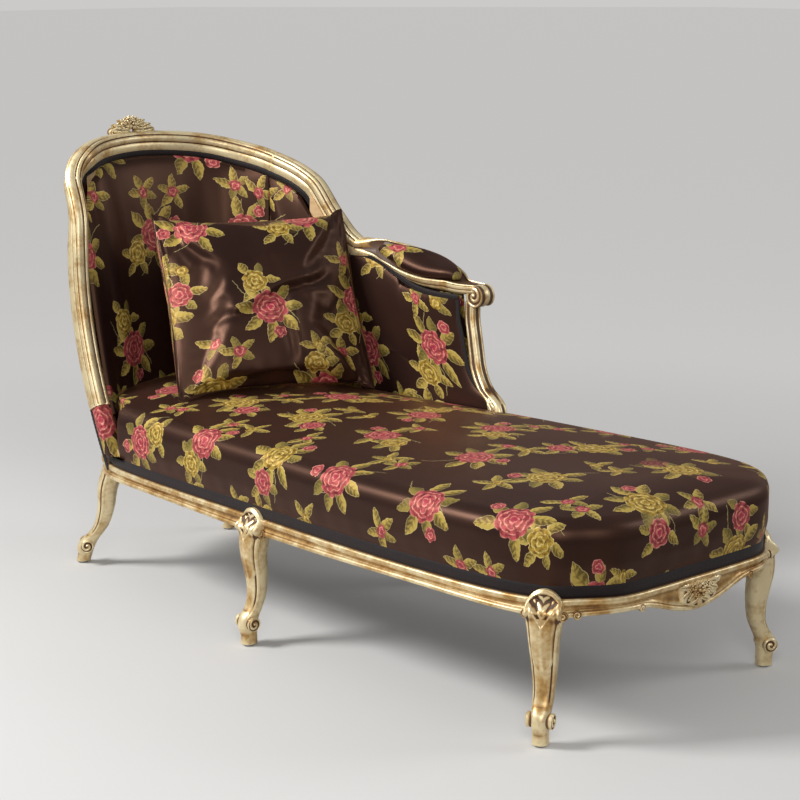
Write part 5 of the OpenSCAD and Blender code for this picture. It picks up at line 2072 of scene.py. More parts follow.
@dataclass
class ShowWood:
    """The reeded moulding round the back, the arm with its scroll, and the post."""

    finishes: Finishes
    size: Sizes = SIZES
    wood: WoodPath = WOOD
    arm: ArmPath = ARM
    post: PostPath = POST
    joint_gap: float = 0.002

    def profile(self) -> Array:
        """Closed section of the moulding as distances outwards and towards the edge.

        Returns:
            The points of the section in order.
        """
        z, inner = self.size, self.size.inner_a
        lands = [
            ((z.proud - 0.6, -z.wood_w), (z.proud - 0.6, -14.8), 1.4),
            ((z.proud - 1.2, -11.0), (1.6, -2.2), 2.0),
            ((-1.8, -0.9), (-18.2, -0.9), 2.6),
            ((-21.5, -2.2), (-30.0, -5.0), 2.4),
            ((inner + 0.9, -9.6), (inner + 0.6, -22.4), 1.6),
            ((inner + 0.6, -26.4), (inner + 0.6, -z.wood_w), 1.5),
        ]
        ring: list[tuple[float, float]] = []
        for start, end, swell in lands:
            a, b = np.array(start), np.array(end)
            way = (b - a) / np.linalg.norm(b - a)
            out = np.array([-way[1], way[0]])
            if out @ (np.array([inner / 2, -z.wood_w / 2]) - a) > 0:
                out = -out
            for t in np.linspace(0, 1, 7):
                ring.append(tuple(a + (b - a) * t + out * swell * (4 * t * (1 - t)) ** 0.7))
            ring.append(tuple(b + way * 1.3 - out * 2.0))
        return np.array(ring[:-1])

    def run(self, name: str, low: float, high: float) -> bpy.types.Object:
        """Length of moulding between two places on the path.

        Args:
            name: Name of the length.
            low: First place.
            high: Last place.

        Returns:
            The moulding.
        """
        q = self.wood.places(low, high)
        ring = self.profile()
        return Bench.tube(name, self.wood.on(q[:, None], ring[None, :, 0], ring[None, :, 1]))

    def board(self) -> bpy.types.Object:
        """Arm board that grows out of the moulding, with a raised rim round its pad.

        Returns:
            The board with its scroll.
        """
        z = self.size
        k = np.linspace(0, self.arm.last, 150)
        row = self.arm.rows.at(k)
        wide, deep = row[:, 3:4], row[:, 4:5]
        sides = 14
        t = np.linspace(0, 1, sides, endpoint=False)[None]
        bead = 1.2 * np.abs(np.sin(2 * np.pi * t)) ** 0.8
        foot = np.stack([mix(-wide / 2 + 6, wide / 2 - 6, t), -deep + 0 * t - 0.6 * np.sin(np.pi * t)], -1)
        outer = np.stack([wide / 2 - 1.2 + bead - 3 * (1 - t) ** 4, mix(-deep + 2, -1.5, t)], -1)
        half_u = np.array([0.485, 0.465, 0.44, 0.415, 0.40, 0.385])
        half_w = np.array([0.2, 1.6, 2.0, 1.0, -1.6, -3.0])
        rim_u = np.concatenate([[0.495], half_u, [0.0], -half_u[::-1]])
        rim_w = np.concatenate([[-2.0], half_w, [-3.0], half_w[::-1]])
        face = np.stack([rim_u[None] * wide, rim_w[None] + 0 * wide], -1)
        inner = np.stack([-(wide / 2 - 1.2 + bead - 3 * t**4), mix(-1.5, -deep + 2, t)], -1)
        board = np.concatenate([foot, outer, face, inner], 1)
        ring = self.profile()
        moulding = np.stack([ring[:, 1] + z.wood_w / 2, z.inner_a - ring[:, 0]], -1)
        parts = [moulding[:8], moulding[8:24], moulding[24:]]
        back = np.array([[-z.wood_w / 2, -1.0], [-z.wood_w / 2, -z.wood_t + 1.0]])
        moulding = np.concatenate([resample(part, sides) for part in (*parts, back)])
        share = ease(k / 1.7)[:, None, None]
        ring = mix(moulding[None], board, share)
        points = self.arm.on(k[:, None], ring[..., 0], ring[..., 1])
        model = Carver.volute(z.scroll_r, z.scroll_w, 1.9, 3.2)
        roll = Bench.copy(model, pose(self.arm.scroll, (1, 0, 0), (0, 0, 1)))
        Bench.discard(model)
        return Bench.join("gilt_arm_board", [Bench.tube("board", points), roll])

    def pillar(self) -> bpy.types.Object:
        """Curved arm post with four flutes and three leaves at its foot.

        Returns:
            The post.
        """
        z = self.size
        high = np.linspace(z.rebate_top, z.arm_front_h - 42, 90)
        a = 2 * np.pi * (np.arange(56) + 0.5) / 56
        ca, sa = sign_pow(np.cos(a), 0.6), sign_pow(np.sin(a), 0.6)
        flutes = (0.0, math.pi / 2, math.pi, 1.5 * math.pi)
        groove = sum(bell((a - c + np.pi) % (2 * np.pi) - np.pi, 0.13) for c in flutes)
        shape = 1 - 0.14 * groove
        mid, w = self.post.middle(high), self.post.width(high)
        points = np.stack(
            [
                mid[:, 0:1] - 1.5 + (w[:, None] / 2 + 2.2) * ca * shape,
                mid[:, 1:2] - 1.5 + (z.arm_post_t / 2 + 2.2) * sa * shape,
                np.repeat(high[:, None], len(a), 1),
            ],
            -1,
        )
        parts = [Bench.tube("pillar", points)]
        leaf = Carver.leaf(58, 10, 5, 4)
        foot_h, tip_h = 428.0, 490.0
        foot = self.post.middle(foot_h)
        way = tuple(self.post.middle(tip_h) - foot)
        for y in (-1, 1):
            at = foot + np.array([4, y * (z.arm_post_t / 2 - 1), 0])
            parts.append(Bench.copy(leaf, pose(at, way, (0.15, y, 0))))
        at = foot + np.array([self.post.width(foot_h) / 2 - 2, 0, -4])
        parts.append(Bench.copy(leaf, pose(at, way, (1, 0, 0), 0.95)))
        Bench.discard(leaf)
        return Bench.join("gilt_arm_post", parts)

    def crest(self) -> bpy.types.Object:
        """Pierced cluster of blossoms, berries and leaves over the crest rail.

        Returns:
            The carving.
        """
        z = self.size
        x = -z.back_lean + z.wood_t / 2 - 17
        blossom, berry = Carver.blossom(13, 9), Carver.blossom(5, 6, 4)
        leaf, curl = Carver.leaf(40, 9, 7), Carver.volute(8, 20, 1.4, 1.6)
        parts = []
        flowers = (
            (0, 19, 1.0), (-21, 14, 0.82), (21, 14, 0.82), (-10, 30, 0.6), (11, 30, 0.6), (-37, 8, 0.62), (37, 8, 0.62),
        )  # fmt: skip
        berries = ((-30, 20), (30, 20), (-12, 8), (12, 8), (0, 35), (-46, 4), (46, 4), (-22, 26), (22, 26))
        leaves = ((26, 3, 1, 0.10, 1.0), (16, 20, 0.9, 0.35, 0.62), (30, 10, 1, 0.32, 0.7), (8, 4, 1, 0.0, 0.8))
        for face in (1, -1):
            for y, h, size in flowers:
                at = (x + face * (6 - abs(y) * 0.04), y, z.crest_h + h)
                parts.append(Bench.copy(blossom, pose(at, (0, face, 0), (face, 0, 0.35), size)))
            for y, h in berries:
                at = (x + face * 8, y, z.crest_h + h)
                parts.append(Bench.copy(berry, pose(at, (0, face, 0), (face, 0, 0.5))))
            for side in (-1, 1):
                for y, h, dy, dz, size in leaves:
                    at = (x + face * 5, side * y, z.crest_h + h)
                    home = pose(at, (0, side * dy, dz), (face, 0, 0.3), size, side * face < 0)
                    parts.append(Bench.copy(leaf, home))
        for side in (-1, 1):
            at = (x, side * 57, z.crest_h + 2)
            parts.append(Bench.copy(curl, pose(at, (0, side, 0), (0, 0, 1), 1.0, side < 0)))
        core = Carver.leaf(100, 9, 10, 5)
        parts.append(Bench.copy(core, pose((x, -50, z.crest_h + 1), (0, 1, 0), (0, 0, 1))))
        Bench.discard(blossom, berry, leaf, curl, core)
        return Bench.join("gilt_crest_carving", parts)

    def build(self) -> None:
        """Builds and gilds every piece of the show-wood."""
        shell = self.wood.shell
        joints = [0.0, self.wood.q_at(shell.stile_top), self.wood.q_at(shell.joint_at), self.arm.start_q]
        for k, node in enumerate(("stile_left", "crest_rail", "sweep_rail")):
            low, high = joints[k] + self.joint_gap * (k > 0), joints[k + 1] - self.joint_gap * (k < 2)
            self.finishes.gild(self.run("gilt_" + node, low, high), node)
        self.finishes.gild(self.board(), "arm_board")
        self.finishes.gild(self.pillar(), "arm_post")
        self.finishes.gild(self.crest(), "crest_carving")


# ----------------------------------------------------------------- upholstery


def braid_pattern(arc: Array, t: Array, width: float) -> Array:
    """Pattern places along a braid and round its section."""
    v = np.concatenate([t, t[::-1] + 1, [0]]) * width
    return np.stack([np.repeat(arc[:, None] / 1000, len(v), 1), np.repeat(v[None], len(arc), 0)], -1)


def braid_swell(t: Array) -> Array:
    """Rise of a braid's ribbed face at shares of its width."""
    return (4 * t * (1 - t)) ** 0.45 * 0.8 + 0.2 * (0.5 + 0.5 * np.cos(t * np.pi * 6))


@dataclass
class SeatUpholstery:
    """The crowned seat: brocade cover, foam, braid and what lies under it."""

    finishes: Finishes
    size: Sizes = SIZES
    plan: SeatPlan = PLAN
    spacing: float = 9
    foam_inset: float = 42
    spine_end: float = 150
    inner_side: float = 41.6
    foam_gap: float = 0.4
    tucked_face: float = 38
    tucked_back: float = 42
    tucked_foam: float = 46
    post_end: float = 7.5
    pitch: float = 110
    strap_half: float = 25
    cover: bpy.types.Object | None = None

    @cached_property
    def stations(self) -> Array:
        """Stations evenly spaced round the whole seat.

        Returns:
            The stations.
        """
        half = self.plan.loop / 2
        s = np.linspace(-half, half, 6001)
        arc = arc_of(self.plan.rim(s))
        even = np.linspace(0, arc[-1], int(arc[-1] / self.spacing) // 2 * 2 + 1)
        return np.interp(even, arc, s)

    def behind(self, s: Array) -> Array:
        """Share of the seat's edge that stands inside the back and the post."""
        left = ease((s - (SHELL.left_at - 0.06)) / 0.12)
        return left * ease((self.post_end - s) / 0.06)

    def side(self, s: Array) -> Array:
        """Insets and heights up the outside of the seat at each station.

        Args:
            s: Stations.

        Returns:
            Inset and height of each point.
        """
        z = self.size
        swell = z.seat_swell
        wall = np.array(
            [
                (10.0, z.rail_top + 0.3), (10.0, z.rail_top + 12), (9.6, z.rail_top + 19),
                (6.0, z.rail_top + 25), (9 - swell, mix(z.rail_top, z.edge_z, 0.42)),
                (8 - swell, mix(z.rail_top, z.edge_z, 0.62)), (11.5 - swell, mix(z.rail_top, z.edge_z, 0.82)),
                (21 - swell, z.edge_z - 8.5), (40 - swell, z.edge_z + 2),
            ]
        )  # fmt: skip
        wall = chaikin(wall, 2)
        wall = np.concatenate([wall[:1], resample(wall[1:], 26)])
        inset = np.repeat(wall[None, :, 0], len(s), 0)
        height = np.repeat(wall[None, :, 1], len(s), 0)
        above = ease((height - z.rail_top - 17) / 2.0)
        inset = np.maximum(inset, self.tucked_face * self.behind(s)[:, None] * above)
        return np.stack([inset, height], -1)

    def spine(self, p: Array) -> Array:
        """Points of the middle line of the crown nearest to plan points."""
        x = np.clip(p[..., 0], self.spine_end * 1.6, self.size.seat_len - self.spine_end)
        return np.stack([x, np.zeros_like(x)], -1)

    def top(self, s: Array, inset: float, share: Array) -> Array:
        """Points of the crown at shares of the way to its middle line.

        Args:
            s: Stations.
            inset: Inset of the rolled edge.
            share: Shares of the way.

        Returns:
            The points in the bench frame.
        """
        p = self.plan.inset(s, np.full(len(s), inset))[:, None]
        plan = mix(p, self.spine(p), share[None, :, None])
        high = self.size.seat_crown - (self.size.seat_dome - 2) * (1 - share) ** 2.2
        return np.concatenate([plan, np.broadcast_to(high[None, :, None], (*plan.shape[:2], 1))], -1)

    def build_cover(self) -> None:
        """Builds the cover with its rolled edge, hollow under its foam."""
        z, s = self.size, self.stations
        side = self.side(s)
        outer = np.concatenate([self.plan.inset(s[:, None], side[..., 0]), side[..., 1:]], -1)
        inset = 40 - z.seat_swell
        share = np.concatenate([np.linspace(0.04, 0.3, 8), np.linspace(0.34, 1.0, 14)])
        crown = self.top(s, inset, share)
        foam_top = z.edge_z - 18 + self.foam_gap
        low, far = z.rebate_top + 3.4, self.inner_side
        inner_rows = []
        for d, h in ((12.0, z.rail_top + 0.3), (12.0, low), (far, low), (far, foam_top)):
            depth = np.maximum(np.full(len(s), d), self.tucked_back * self.behind(s) * (d < far))
            inner_rows.append(at_level(self.plan.inset(s, depth), h))
        base = self.plan.inset(s, np.full(len(s), far))
        for t in (0.5, 1.0):
            inner_rows.append(at_level(mix(base, self.spine(base), t), foam_top))
        inner = np.stack(inner_rows[::-1], 1)
        points = np.concatenate([inner, outer, crown], 1)
        points = points + self.pulls(points)
        roll = self.plan.inset(s, np.full(len(s), inset))
        fall = np.linalg.norm(np.diff(outer, axis=1), axis=-1)[:, ::-1].cumsum(1)[:, ::-1]
        fall = np.concatenate([fall, np.zeros((len(s), 1))], 1)
        unrolled = roll[:, None] + self.plan.normal(s)[:, None] * fall[..., None]
        uv = np.concatenate([inner[..., :2], unrolled, crown[..., :2]], 1) / 1000
        cover = Bench.skin("seat_brocade", points, uv)
        Bench.smooth(cover, SOFT_ANGLE)
        self.cover = self.finishes.dress(cover, Slot.BROCADE, Body.CHAISE, "seat_cover")

    def pulls(self, points: Array) -> Array:
        """Slight waves of the stretched cloth near its braid and over its crown.

        Args:
            points: Points of the cover.

        Returns:
            How far each of them moves.
        """
        x, y, h = points[..., 0], points[..., 1], points[..., 2]
        wave = np.sin(x * 0.083 + np.sin(y * 0.031) * 2) * np.sin(x * 0.027 + 1.7) + np.sin(y * 0.09 + x * 0.013)
        wave = wave * bell(h - 330, 26) * 0.7
        crown = bell(h - self.size.seat_crown, 22) * (np.sin(x * 0.0113 + 0.4) * np.sin(y * 0.0141 + 1.1)) * 1.6
        n = unit(points[..., :2] - self.spine(points))
        on_top = (h > self.size.rail_top + 21)[..., None]
        return np.concatenate([n * wave[..., None] * on_top, crown[..., None] * on_top], -1)

    def build_foam(self) -> None:
        """Builds the foam slab with its soft edges."""
        z, s = self.size, self.stations
        low, high = z.rebate_top + 4.2, z.edge_z - 18
        depth = np.maximum(self.foam_inset, self.tucked_foam * self.behind(s))
        edge = ((6, low), (1.5, low + 1), (0.2, low + 5), (0.2, high - 6), (1.8, high - 1.5), (6, high))
        rows = [at_level(self.plan.inset(s, depth + d), h) for d, h in edge]
        base = self.plan.inset(s, depth + 6)
        cap = lambda t, h: at_level(mix(base, self.spine(base), t), h)
        points = np.stack([cap(1.0, low), cap(0.5, low), *rows, cap(0.5, high), cap(1.0, high)], 1)
        foam = Bench.skin("foam_slab", points)
        Bench.smooth(foam, SOFT_ANGLE)
        self.finishes.dress(foam, Slot.FILLING, Body.CHAISE, "seat_foam")

    def build_braid(self) -> None:
        """Builds the braid round the foot of the cover."""
        z, n = self.size, len(self.stations)
        s = np.interp(np.linspace(0, 1, n * 3 - 2), np.linspace(0, 1, n), self.stations)
        arc = arc_of(self.plan.rim(s))
        rib = 0.45 * np.sin(arc * 2 * np.pi / 12.0)
        low, high = z.rail_top - 5.6, z.rail_top + z.gimp_w - 2
        t = np.linspace(0, 1, 11)
        swell = (4 * t * (1 - t)) ** 0.45 * 2.0 + 0.25 * np.cos(t * np.pi * 8)
        back = np.full((len(s), len(t)), 9.8)
        front = back - np.maximum(0.3, swell)[None] * (1 + 0.18 * rib[:, None])
        front = front + rib[:, None] * 0.25 * np.sin(t * np.pi)[None]
        depth = np.concatenate([front, back[:, ::-1]], 1)
        height = np.concatenate([mix(low, high, t), mix(low, high, t)[::-1]])[None] + 0 * depth
        ring = np.concatenate([self.plan.inset(s[:, None], depth), height[..., None]], -1)
        ring = np.concatenate([ring, ring[:, :1]], 1)
        braid = Bench.skin("seat_braid", ring, braid_pattern(arc, t, 0.018))
        Bench.smooth(braid, SOFT_ANGLE)
        self.finishes.dress(braid, Slot.BRAID, Body.CHAISE, "seat_gimp")

    def half_width(self, x: Array, inset: float) -> Array:
        """Half width of the seat at places along it.

        Args:
            x: Places along the seat.
            inset: Depth inside the rim.

        Returns:
            The half widths.
        """
        s = np.linspace(0, self.plan.loop / 2, 1500)
        p = self.plan.inset(s, np.full(len(s), inset))
        order = np.argsort(p[:, 0])
        return np.interp(x, p[order, 0], p[order, 1])

    def strap(self, start: Array, end: Array, level: float, seed: int) -> bpy.types.Object:
        """One flat webbing strap with rounded edges.

        Args:
            start: Middle of its first end in the plan.
            end: Middle of its last end in the plan.
            level: Height of its underside.
            seed: Number that tells straps apart.

        Returns:
            The strap.
        """
        length = float(np.linalg.norm(end - start))
        n = max(24, int(length / 16))
        t = np.linspace(0, 1, n)[:, None]
        way = (end - start) / length
        side = np.array([-way[1], way[0]])
        half = np.array([9, 18, 24.4, self.strap_half])
        across = np.concatenate([-half[::-1], [0], half])
        line = start[None] + way[None] * (t * length)
        ring = np.concatenate([across, across[::-1]])
        up = np.array([1.0, 1.75, 1.8, 1.7, 1.8, 1.7, 1.8, 1.75, 1.0, 0.9, 0.12, *[0.1] * 5, 0.12, 0.9])
        plan = line[:, None, :] + side[None, None] * ring[None, :, None]
        high = np.broadcast_to(level + up[None], plan.shape[:2])
        points = np.concatenate([plan, high[..., None]], -1)
        around = np.append(ring, ring[:1])[None] / 1000
        uv = np.stack([np.repeat(t * length / 1000, len(ring) + 1, 1), np.repeat(around, n, 0)], -1)
        return Bench.tube(f"strap_{seed}", points, uv)

    def build_webbing(self) -> None:
        """Builds the lengthwise and crosswise straps under the foam."""
        z, pitch, half = self.size, self.pitch, self.strap_half
        reach = z.rail_thick - 8 + 1
        x = np.linspace(5, z.seat_len - reach, 3000)
        wide = self.half_width(x, reach)
        made = []
        for i in range(-2, 3):
            y = i * pitch
            fits = x[wide >= abs(y) + half + 1]
            low = fits[0] + (34 if i else 2)
            made.append(self.strap(np.array([low, y]), np.array([fits[-1] - 1, y]), z.rebate_top, i + 2))
        long_way = Bench.join("webbing_lengthwise", made)
        Bench.smooth(long_way)
        self.finishes.dress(long_way, Slot.WEBBING, Body.CHAISE, "webbing_long")
        made = []
        at = pitch * 1.6
        while at <= z.seat_len - pitch:
            y = float(self.half_width(np.array([at - half, at, at + half]), reach).min()) - 1
            made.append(self.strap(np.array([at, -y]), np.array([at, y]), z.rebate_top + 2, len(made) + 10))
            at += pitch
        cross = Bench.join("webbing_crosswise", made)
        Bench.smooth(cross)
        self.finishes.dress(cross, Slot.WEBBING, Body.CHAISE, "webbing_cross")

    def build_dust_cover(self) -> None:
        """Builds the black cambric under the frame, cut round the leg blocks."""
        z, s, p = self.size, self.stations, self.plan
        legs = sum(p.near(s, side * at, z.block_w / 2 + 2, 5) for side in (1, -1) for at in p.legs.values())
        depth = z.rail_thick + 0.5 + (z.block_d - z.rail_thick + 3) * np.minimum(legs, 1)
        level = z.rail_low + 4
        base = self.plan.inset(s, depth)
        shares = (1.0, 0.6, 0.3, 0.06, 0.0)
        rows = [at_level(mix(base, self.spine(base), t), level - 1.0) for t in shares]
        rows += [at_level(mix(base, self.spine(base), t), level - 0.1) for t in shares[::-1]]
        points = np.stack(rows, 1)
        cloth = Bench.skin("dust_cloth", points, points[..., :2] / 1000)
        Bench.smooth(cloth, SOFT_ANGLE)
        self.finishes.dress(cloth, Slot.CAMBRIC, Body.CHAISE, "dust_cover")

    def build(self) -> None:
        """Builds the seat from the cover down."""
        self.build_cover()
        self.build_foam()
        self.build_braid()
        self.build_webbing()
        self.build_dust_cover()


@dataclass
class BackUpholstery:
    """The inside pads, outside covers, stile sleeve and braid of the back."""

    finishes: Finishes
    seat: SeatUpholstery
    size: Sizes = SIZES
    shell: BackShell = SHELL
    wood: WoodPath = WOOD
    post: PostPath = POST
    arm: ArmPath = ARM
    edge: float = 7
    pad_low: float = 394
    pattern_low: float = 430
    even_out: float = 0.75
    braid_cols: int = 9
    cover_out: float = 3
    pad_rows: int = 56
    cover_rows: int = 44

    def wood_foot(self, s: Array, depth: Array) -> tuple[Array, Array]:
        """Stations and shares of the shell at a depth under the show-wood.

        Args:
            s: Stations.
            depth: Depths in millimetres.

        Returns:
            The stations and the shares.
        """
        q = s - self.shell.left_at + 1
        p = self.wood.on(q, 0 * s, -np.asarray(depth) + 0 * s)
        at = s.copy()
        for _ in range(3):
            v = self.shell.share(at, p[:, 2])
            a = self.shell.point(at, v, 0)[:, :2]
            d = (self.shell.point(at + 0.02, v, 0)[:, :2] - a) / 0.02
            at = at + ((p[:, :2] - a) * d).sum(1) / (d * d).sum(1)
        return at, self.shell.share(at, p[:, 2])

    def grid(
        self,
        low_s: float,
        high_s: float,
        bottom: float,
        depth: Callable[[Array], Array],
        across: int,
        up: int,
        to_post: float | None,
    ) -> tuple[Array, Array, Array]:
        """Stations, shares and spans of a panel between the seat and the show-wood.

        Args:
            low_s: First station.
            high_s: Last station.
            bottom: Height of its lower edge.
            depth: Depth of its upper edge under the show-wood, from the station.
            across: Columns.
            up: Rows.
            to_post: Gap to the arm post in stations, or None where it doesn't reach it.

        Returns:
            The stations, the shares of the height and the share across each column.
        """
        t = 0.5 - 0.5 * np.cos(np.pi * np.linspace(0, 1, across))
        s0 = mix(low_s, high_s, t)
        foot_s, foot_v = self.wood_foot(s0, depth(s0))
        low = self.shell.share(s0, bottom)
        j = np.linspace(0, 1, up)[None]
        s, v = mix(s0[:, None], foot_s[:, None], j), mix(low[:, None], foot_v[:, None], j)
        if to_post is not None:
            s = mix(s, self.post.rear_station(self.shell, v) + to_post, (t**6)[:, None])
        return s, v, t

    def panel(self, name: str, s: Array, v: Array, back: Array, front: Array) -> bpy.types.Object:
        """Closed panel between two depths in the shell, with pattern coordinates.

        Args:
            name: Name of the panel.
            s: Stations.
            v: Shares of the height.
            back: Depths of its rear face.
            front: Depths of its front face.

        Returns:
            The panel.
        """
        rear, face = self.shell.point(s, v, back), self.shell.point(s, v, front)
        points = np.concatenate([rear, face[:, ::-1]], 1)
        step_u = np.linalg.norm(np.diff(face, axis=0), axis=-1)
        u = np.concatenate([np.zeros((1, face.shape[1])), step_u.cumsum(0)])
        mid = face.shape[1] // 2
        u = mix(u, u[:, mid : mid + 1], self.even_out)
        w = face[..., 2] - self.pattern_low
        uv = np.stack([u, w], -1) / 1000
        uv = np.concatenate([uv, uv[:, ::-1]], 1)
        uv = np.concatenate([uv, uv[:, :1]], 1)
        return Bench.tube(name, points, uv)

    def pad(
        self,
        name: str,
        node: str,
        low_s: float,
        high_s: float,
        crown: float,
        across: int,
        to_post: float | None = None,
        fill: float = 0.85,
    ) -> None:
        """Builds an inside pad that rests on the seat.

        Args:
            name: Name of the piece.
            node: The node that it replaces.
            low_s: First station.
            high_s: Last station.
            crown: Rise of its middle over its edges.
            across: Columns.
            to_post: Gap to the arm post in stations, or None.
            fill: Not used.
        """
        z = self.size
        deep = lambda s: z.wood_w + z.braid_b + 0.6 - self.shell.lift(s)
        s, v, t = self.grid(low_s, high_s, self.pad_low, deep, across, self.pad_rows, to_post)
        up = np.linspace(0, 1, self.pad_rows)[None]
        drawn = np.clip(1 - np.abs(2 * t - 1) ** 3.2, 0, None) ** 0.6
        body = drawn[:, None] * (1 - up**4) ** 0.7
        soft = np.sin(s * 5.1 + v * 4.0) * np.sin(v * 9.0 + s * 2.3) * body
        back = self.shell.pad_back(s)
        front = back + self.edge + crown * body + soft * (crown > 15)
        obj = self.panel(name, s, v, back, front)
        self.rest_on_seat(obj)
        Bench.smooth(obj, SOFT_ANGLE)
        self.finishes.dress(obj, Slot.BROCADE, Body.CHAISE, node)

    def rest_on_seat(self, obj: bpy.types.Object) -> None:
        """Lifts what lies inside the seat onto its surface.

        Args:
            obj: The piece.
        """
        tree = BVHTree.FromObject(self.seat.cover, bpy.context.evaluated_depsgraph_get())
        co = Bench.coords(obj)
        near, start, reach, floor, gap = 0.47, 0.6, 0.4, 0.36, 0.0004
        for k in np.flatnonzero(co[:, 2] < near):
            hit = tree.ray_cast(Vector((co[k, 0], co[k, 1], start)), Vector((0, 0, -1)), reach)[0]
            if hit is not None and hit.z > floor:
                co[k, 2] = max(co[k, 2], hit.z + gap)
        Bench.move(obj, co)

    def cover(
        self, name: str, node: str, low_s: float, high_s: float, across: int, to_post: float | None = None
    ) -> None:
        """Builds an outside cover.

        Args:
            name: Name of the piece.
            node: The node that it replaces.
            low_s: First station.
            high_s: Last station.
            across: Columns.
            to_post: Gap to the arm post in stations, or None.
        """
        z = self.size
        groove = lambda s: np.where(s > self.shell.arm_at, 18 * np.minimum(1, (s - self.shell.arm_at) * 4), 0)
        deep = lambda s: z.wood_w + 0.8 - groove(s)
        s, v, t = self.grid(low_s, high_s, z.rail_top + z.gimp_w - 1.5, deep, across, self.cover_rows, to_post)
        up = np.linspace(0, 1, self.cover_rows)[None]
        tight = np.sin(np.pi * t)[:, None] ** 0.5 * np.sin(np.pi * up) ** 0.5
        outer = self.cover_out + 1.2 * (1 - tight)
        obj = self.panel(name, s, v, np.full_like(s, self.cover_out + z.cover_t), outer)
        Bench.smooth(obj, SOFT_ANGLE)
        self.finishes.dress(obj, Slot.BROCADE, Body.CHAISE, node)

    def sleeve(self) -> None:
        """Builds the brocade sleeve round the foot of the open stile."""
        z = self.size
        q = self.wood.places(-0.52, -0.004, 4.0)
        inner, outer, low = z.inner_a + 1, z.proud - 2, -z.wood_w + 1
        section = np.array([(inner, low), (outer, low), (outer, -1), (inner, -1)])
        ring = resample(chaikin(np.concatenate([section, section[:1]]), 3)[:-1], 40, closed=True)
        ring = mix(ring, resample(section, 40, closed=True), 0.55)
        points = self.wood.on(q[:, None], ring[None, :, 0], ring[None, :, 1])
        around = np.linspace(0, 0.15, 41)
        uv = np.stack([np.repeat(around[None] + 0.31, len(q), 0), np.repeat((q * 0.35)[:, None] + 0.6, 41, 1)], -1)
        obj = Bench.tube("sleeve_brocade", points, uv)
        co = Bench.coords(obj)
        co[:, 2] = np.maximum(co[:, 2], (z.rail_top + z.gimp_w - 1.2) / 1000)
        Bench.move(obj, co)
        Bench.smooth(obj, SOFT_ANGLE)
        self.finishes.dress(obj, Slot.BROCADE, Body.CHAISE, "stile_sleeve")

    def ribbon(self, name: str, q: Array, a0: float, a1: float, b0: float, b1: float) -> bpy.types.Object:
        """Length of braid beside the show-wood.

        Args:
            name: Name of the length.
            q: Places on the path.
            a0: Depth of its back.
            a1: Depth of its face.
            b0: Place of its lower edge.
            b1: Place of its upper edge.

        Returns:
            The braid.
        """
        t = np.linspace(0, 1, self.braid_cols)
        arc = arc_of(self.wood.on(q, 0 * q, 0 * q))
        rib = 1 + 0.12 * np.sin(arc * 2 * np.pi / 10.0)
        face = a0 + (a1 - a0) * (0.25 + 0.75 * braid_swell(t)[None] * rib[:, None])
        back = np.full_like(face, a0)
        a = np.concatenate([face, back[:, ::-1]], 1)
        b = np.concatenate([mix(b0, b1, t), mix(b0, b1, t)[::-1]])[None] + 0 * a
        return Bench.tube(name, self.wood.on(q[:, None], a, b), braid_pattern(arc, t, 0.013))

    def braid(self) -> None:
        """Builds the braid along the show-wood and the arm panel."""
        z = self.size
        inner = z.inner_a
        low, high = -z.wood_w - z.braid_b, -z.wood_w - 0.3
        q = self.wood.places(0, self.arm.start_q, 3.0)
        inside = self.ribbon("inner_run", q, inner + 1, inner - 2.6, low, high)
        q = self.wood.places(-0.36, 1.0, 3.0)
        outside = self.ribbon("outer_run", q, -3, 1.4, low, high)
        braid = Bench.join("back_braid", [inside, outside])
        Bench.smooth(braid, SOFT_ANGLE)
        self.finishes.dress(braid, Slot.BRAID, Body.CHAISE, "back_gimp")

        face, bars, rows = self.edge + 1, 70, 110
        t = np.linspace(0, 1, self.braid_cols)
        swell = 0.25 + 0.75 * braid_swell(t)
        end = float(self.post.rear_station(self.shell, np.array(0.9))) - 0.005
        s = np.linspace(self.shell.arm_at - 0.05, end, bars)[:, None]
        rib = 1 + 0.12 * np.sin(np.arange(bars) * 2.2)[:, None]
        down = z.wood_w + 0.3 + t[None] * z.braid_b - self.shell.lift(s)
        v = self.shell.under(s + 0 * t[None], 1.0)
        v = 1 - (1 - v) * down
        back = self.shell.pad_back(s) + face - 3 + 0 * v
        over = self.panel_strip("over_run", s + 0 * v, v, back, back + 3.4 * swell[None] * rib)
        high_v = float(self.shell.under(self.shell.front_at, z.wood_w + z.braid_b))
        low_v = float(self.shell.share(self.shell.front_at, z.seat_crown - 6))
        v = np.linspace(low_v, high_v, rows)[:, None] + 0 * t[None]
        rib = 1 + 0.12 * np.sin(np.arange(rows) * 2.2)[:, None]
        s = self.post.rear_station(self.shell, v) - 0.005 - t[None] * z.braid_b / self.shell.front_step
        back = self.shell.pad_back(s) + face - 3
        beside = self.panel_strip("post_run", s, v, back, back + 3.4 * swell[None] * rib)
        braid = Bench.join("arm_braid", [over, beside])
        Bench.smooth(braid, SOFT_ANGLE)
        self.finishes.dress(braid, Slot.BRAID, Body.CHAISE, "arm_gimp")

    def panel_strip(self, name: str, s: Array, v: Array, back: Array, front: Array) -> bpy.types.Object:
        """Narrow closed strip between two depths in the shell.

        Args:
            name: Name of the strip.
            s: Stations.
            v: Shares of the height.
            back: Depths of its rear face.
            front: Depths of its front face.

        Returns:
            The strip, with a braid's pattern.
        """
        rear, face = self.shell.point(s, v, back), self.shell.point(s, v, front)
        ring = np.concatenate([face, rear[:, ::-1]], 1)
        arc = arc_of(face[:, self.braid_cols // 2])
        return Bench.tube(name, ring, braid_pattern(arc, np.linspace(0, 1, s.shape[1]), 0.013))

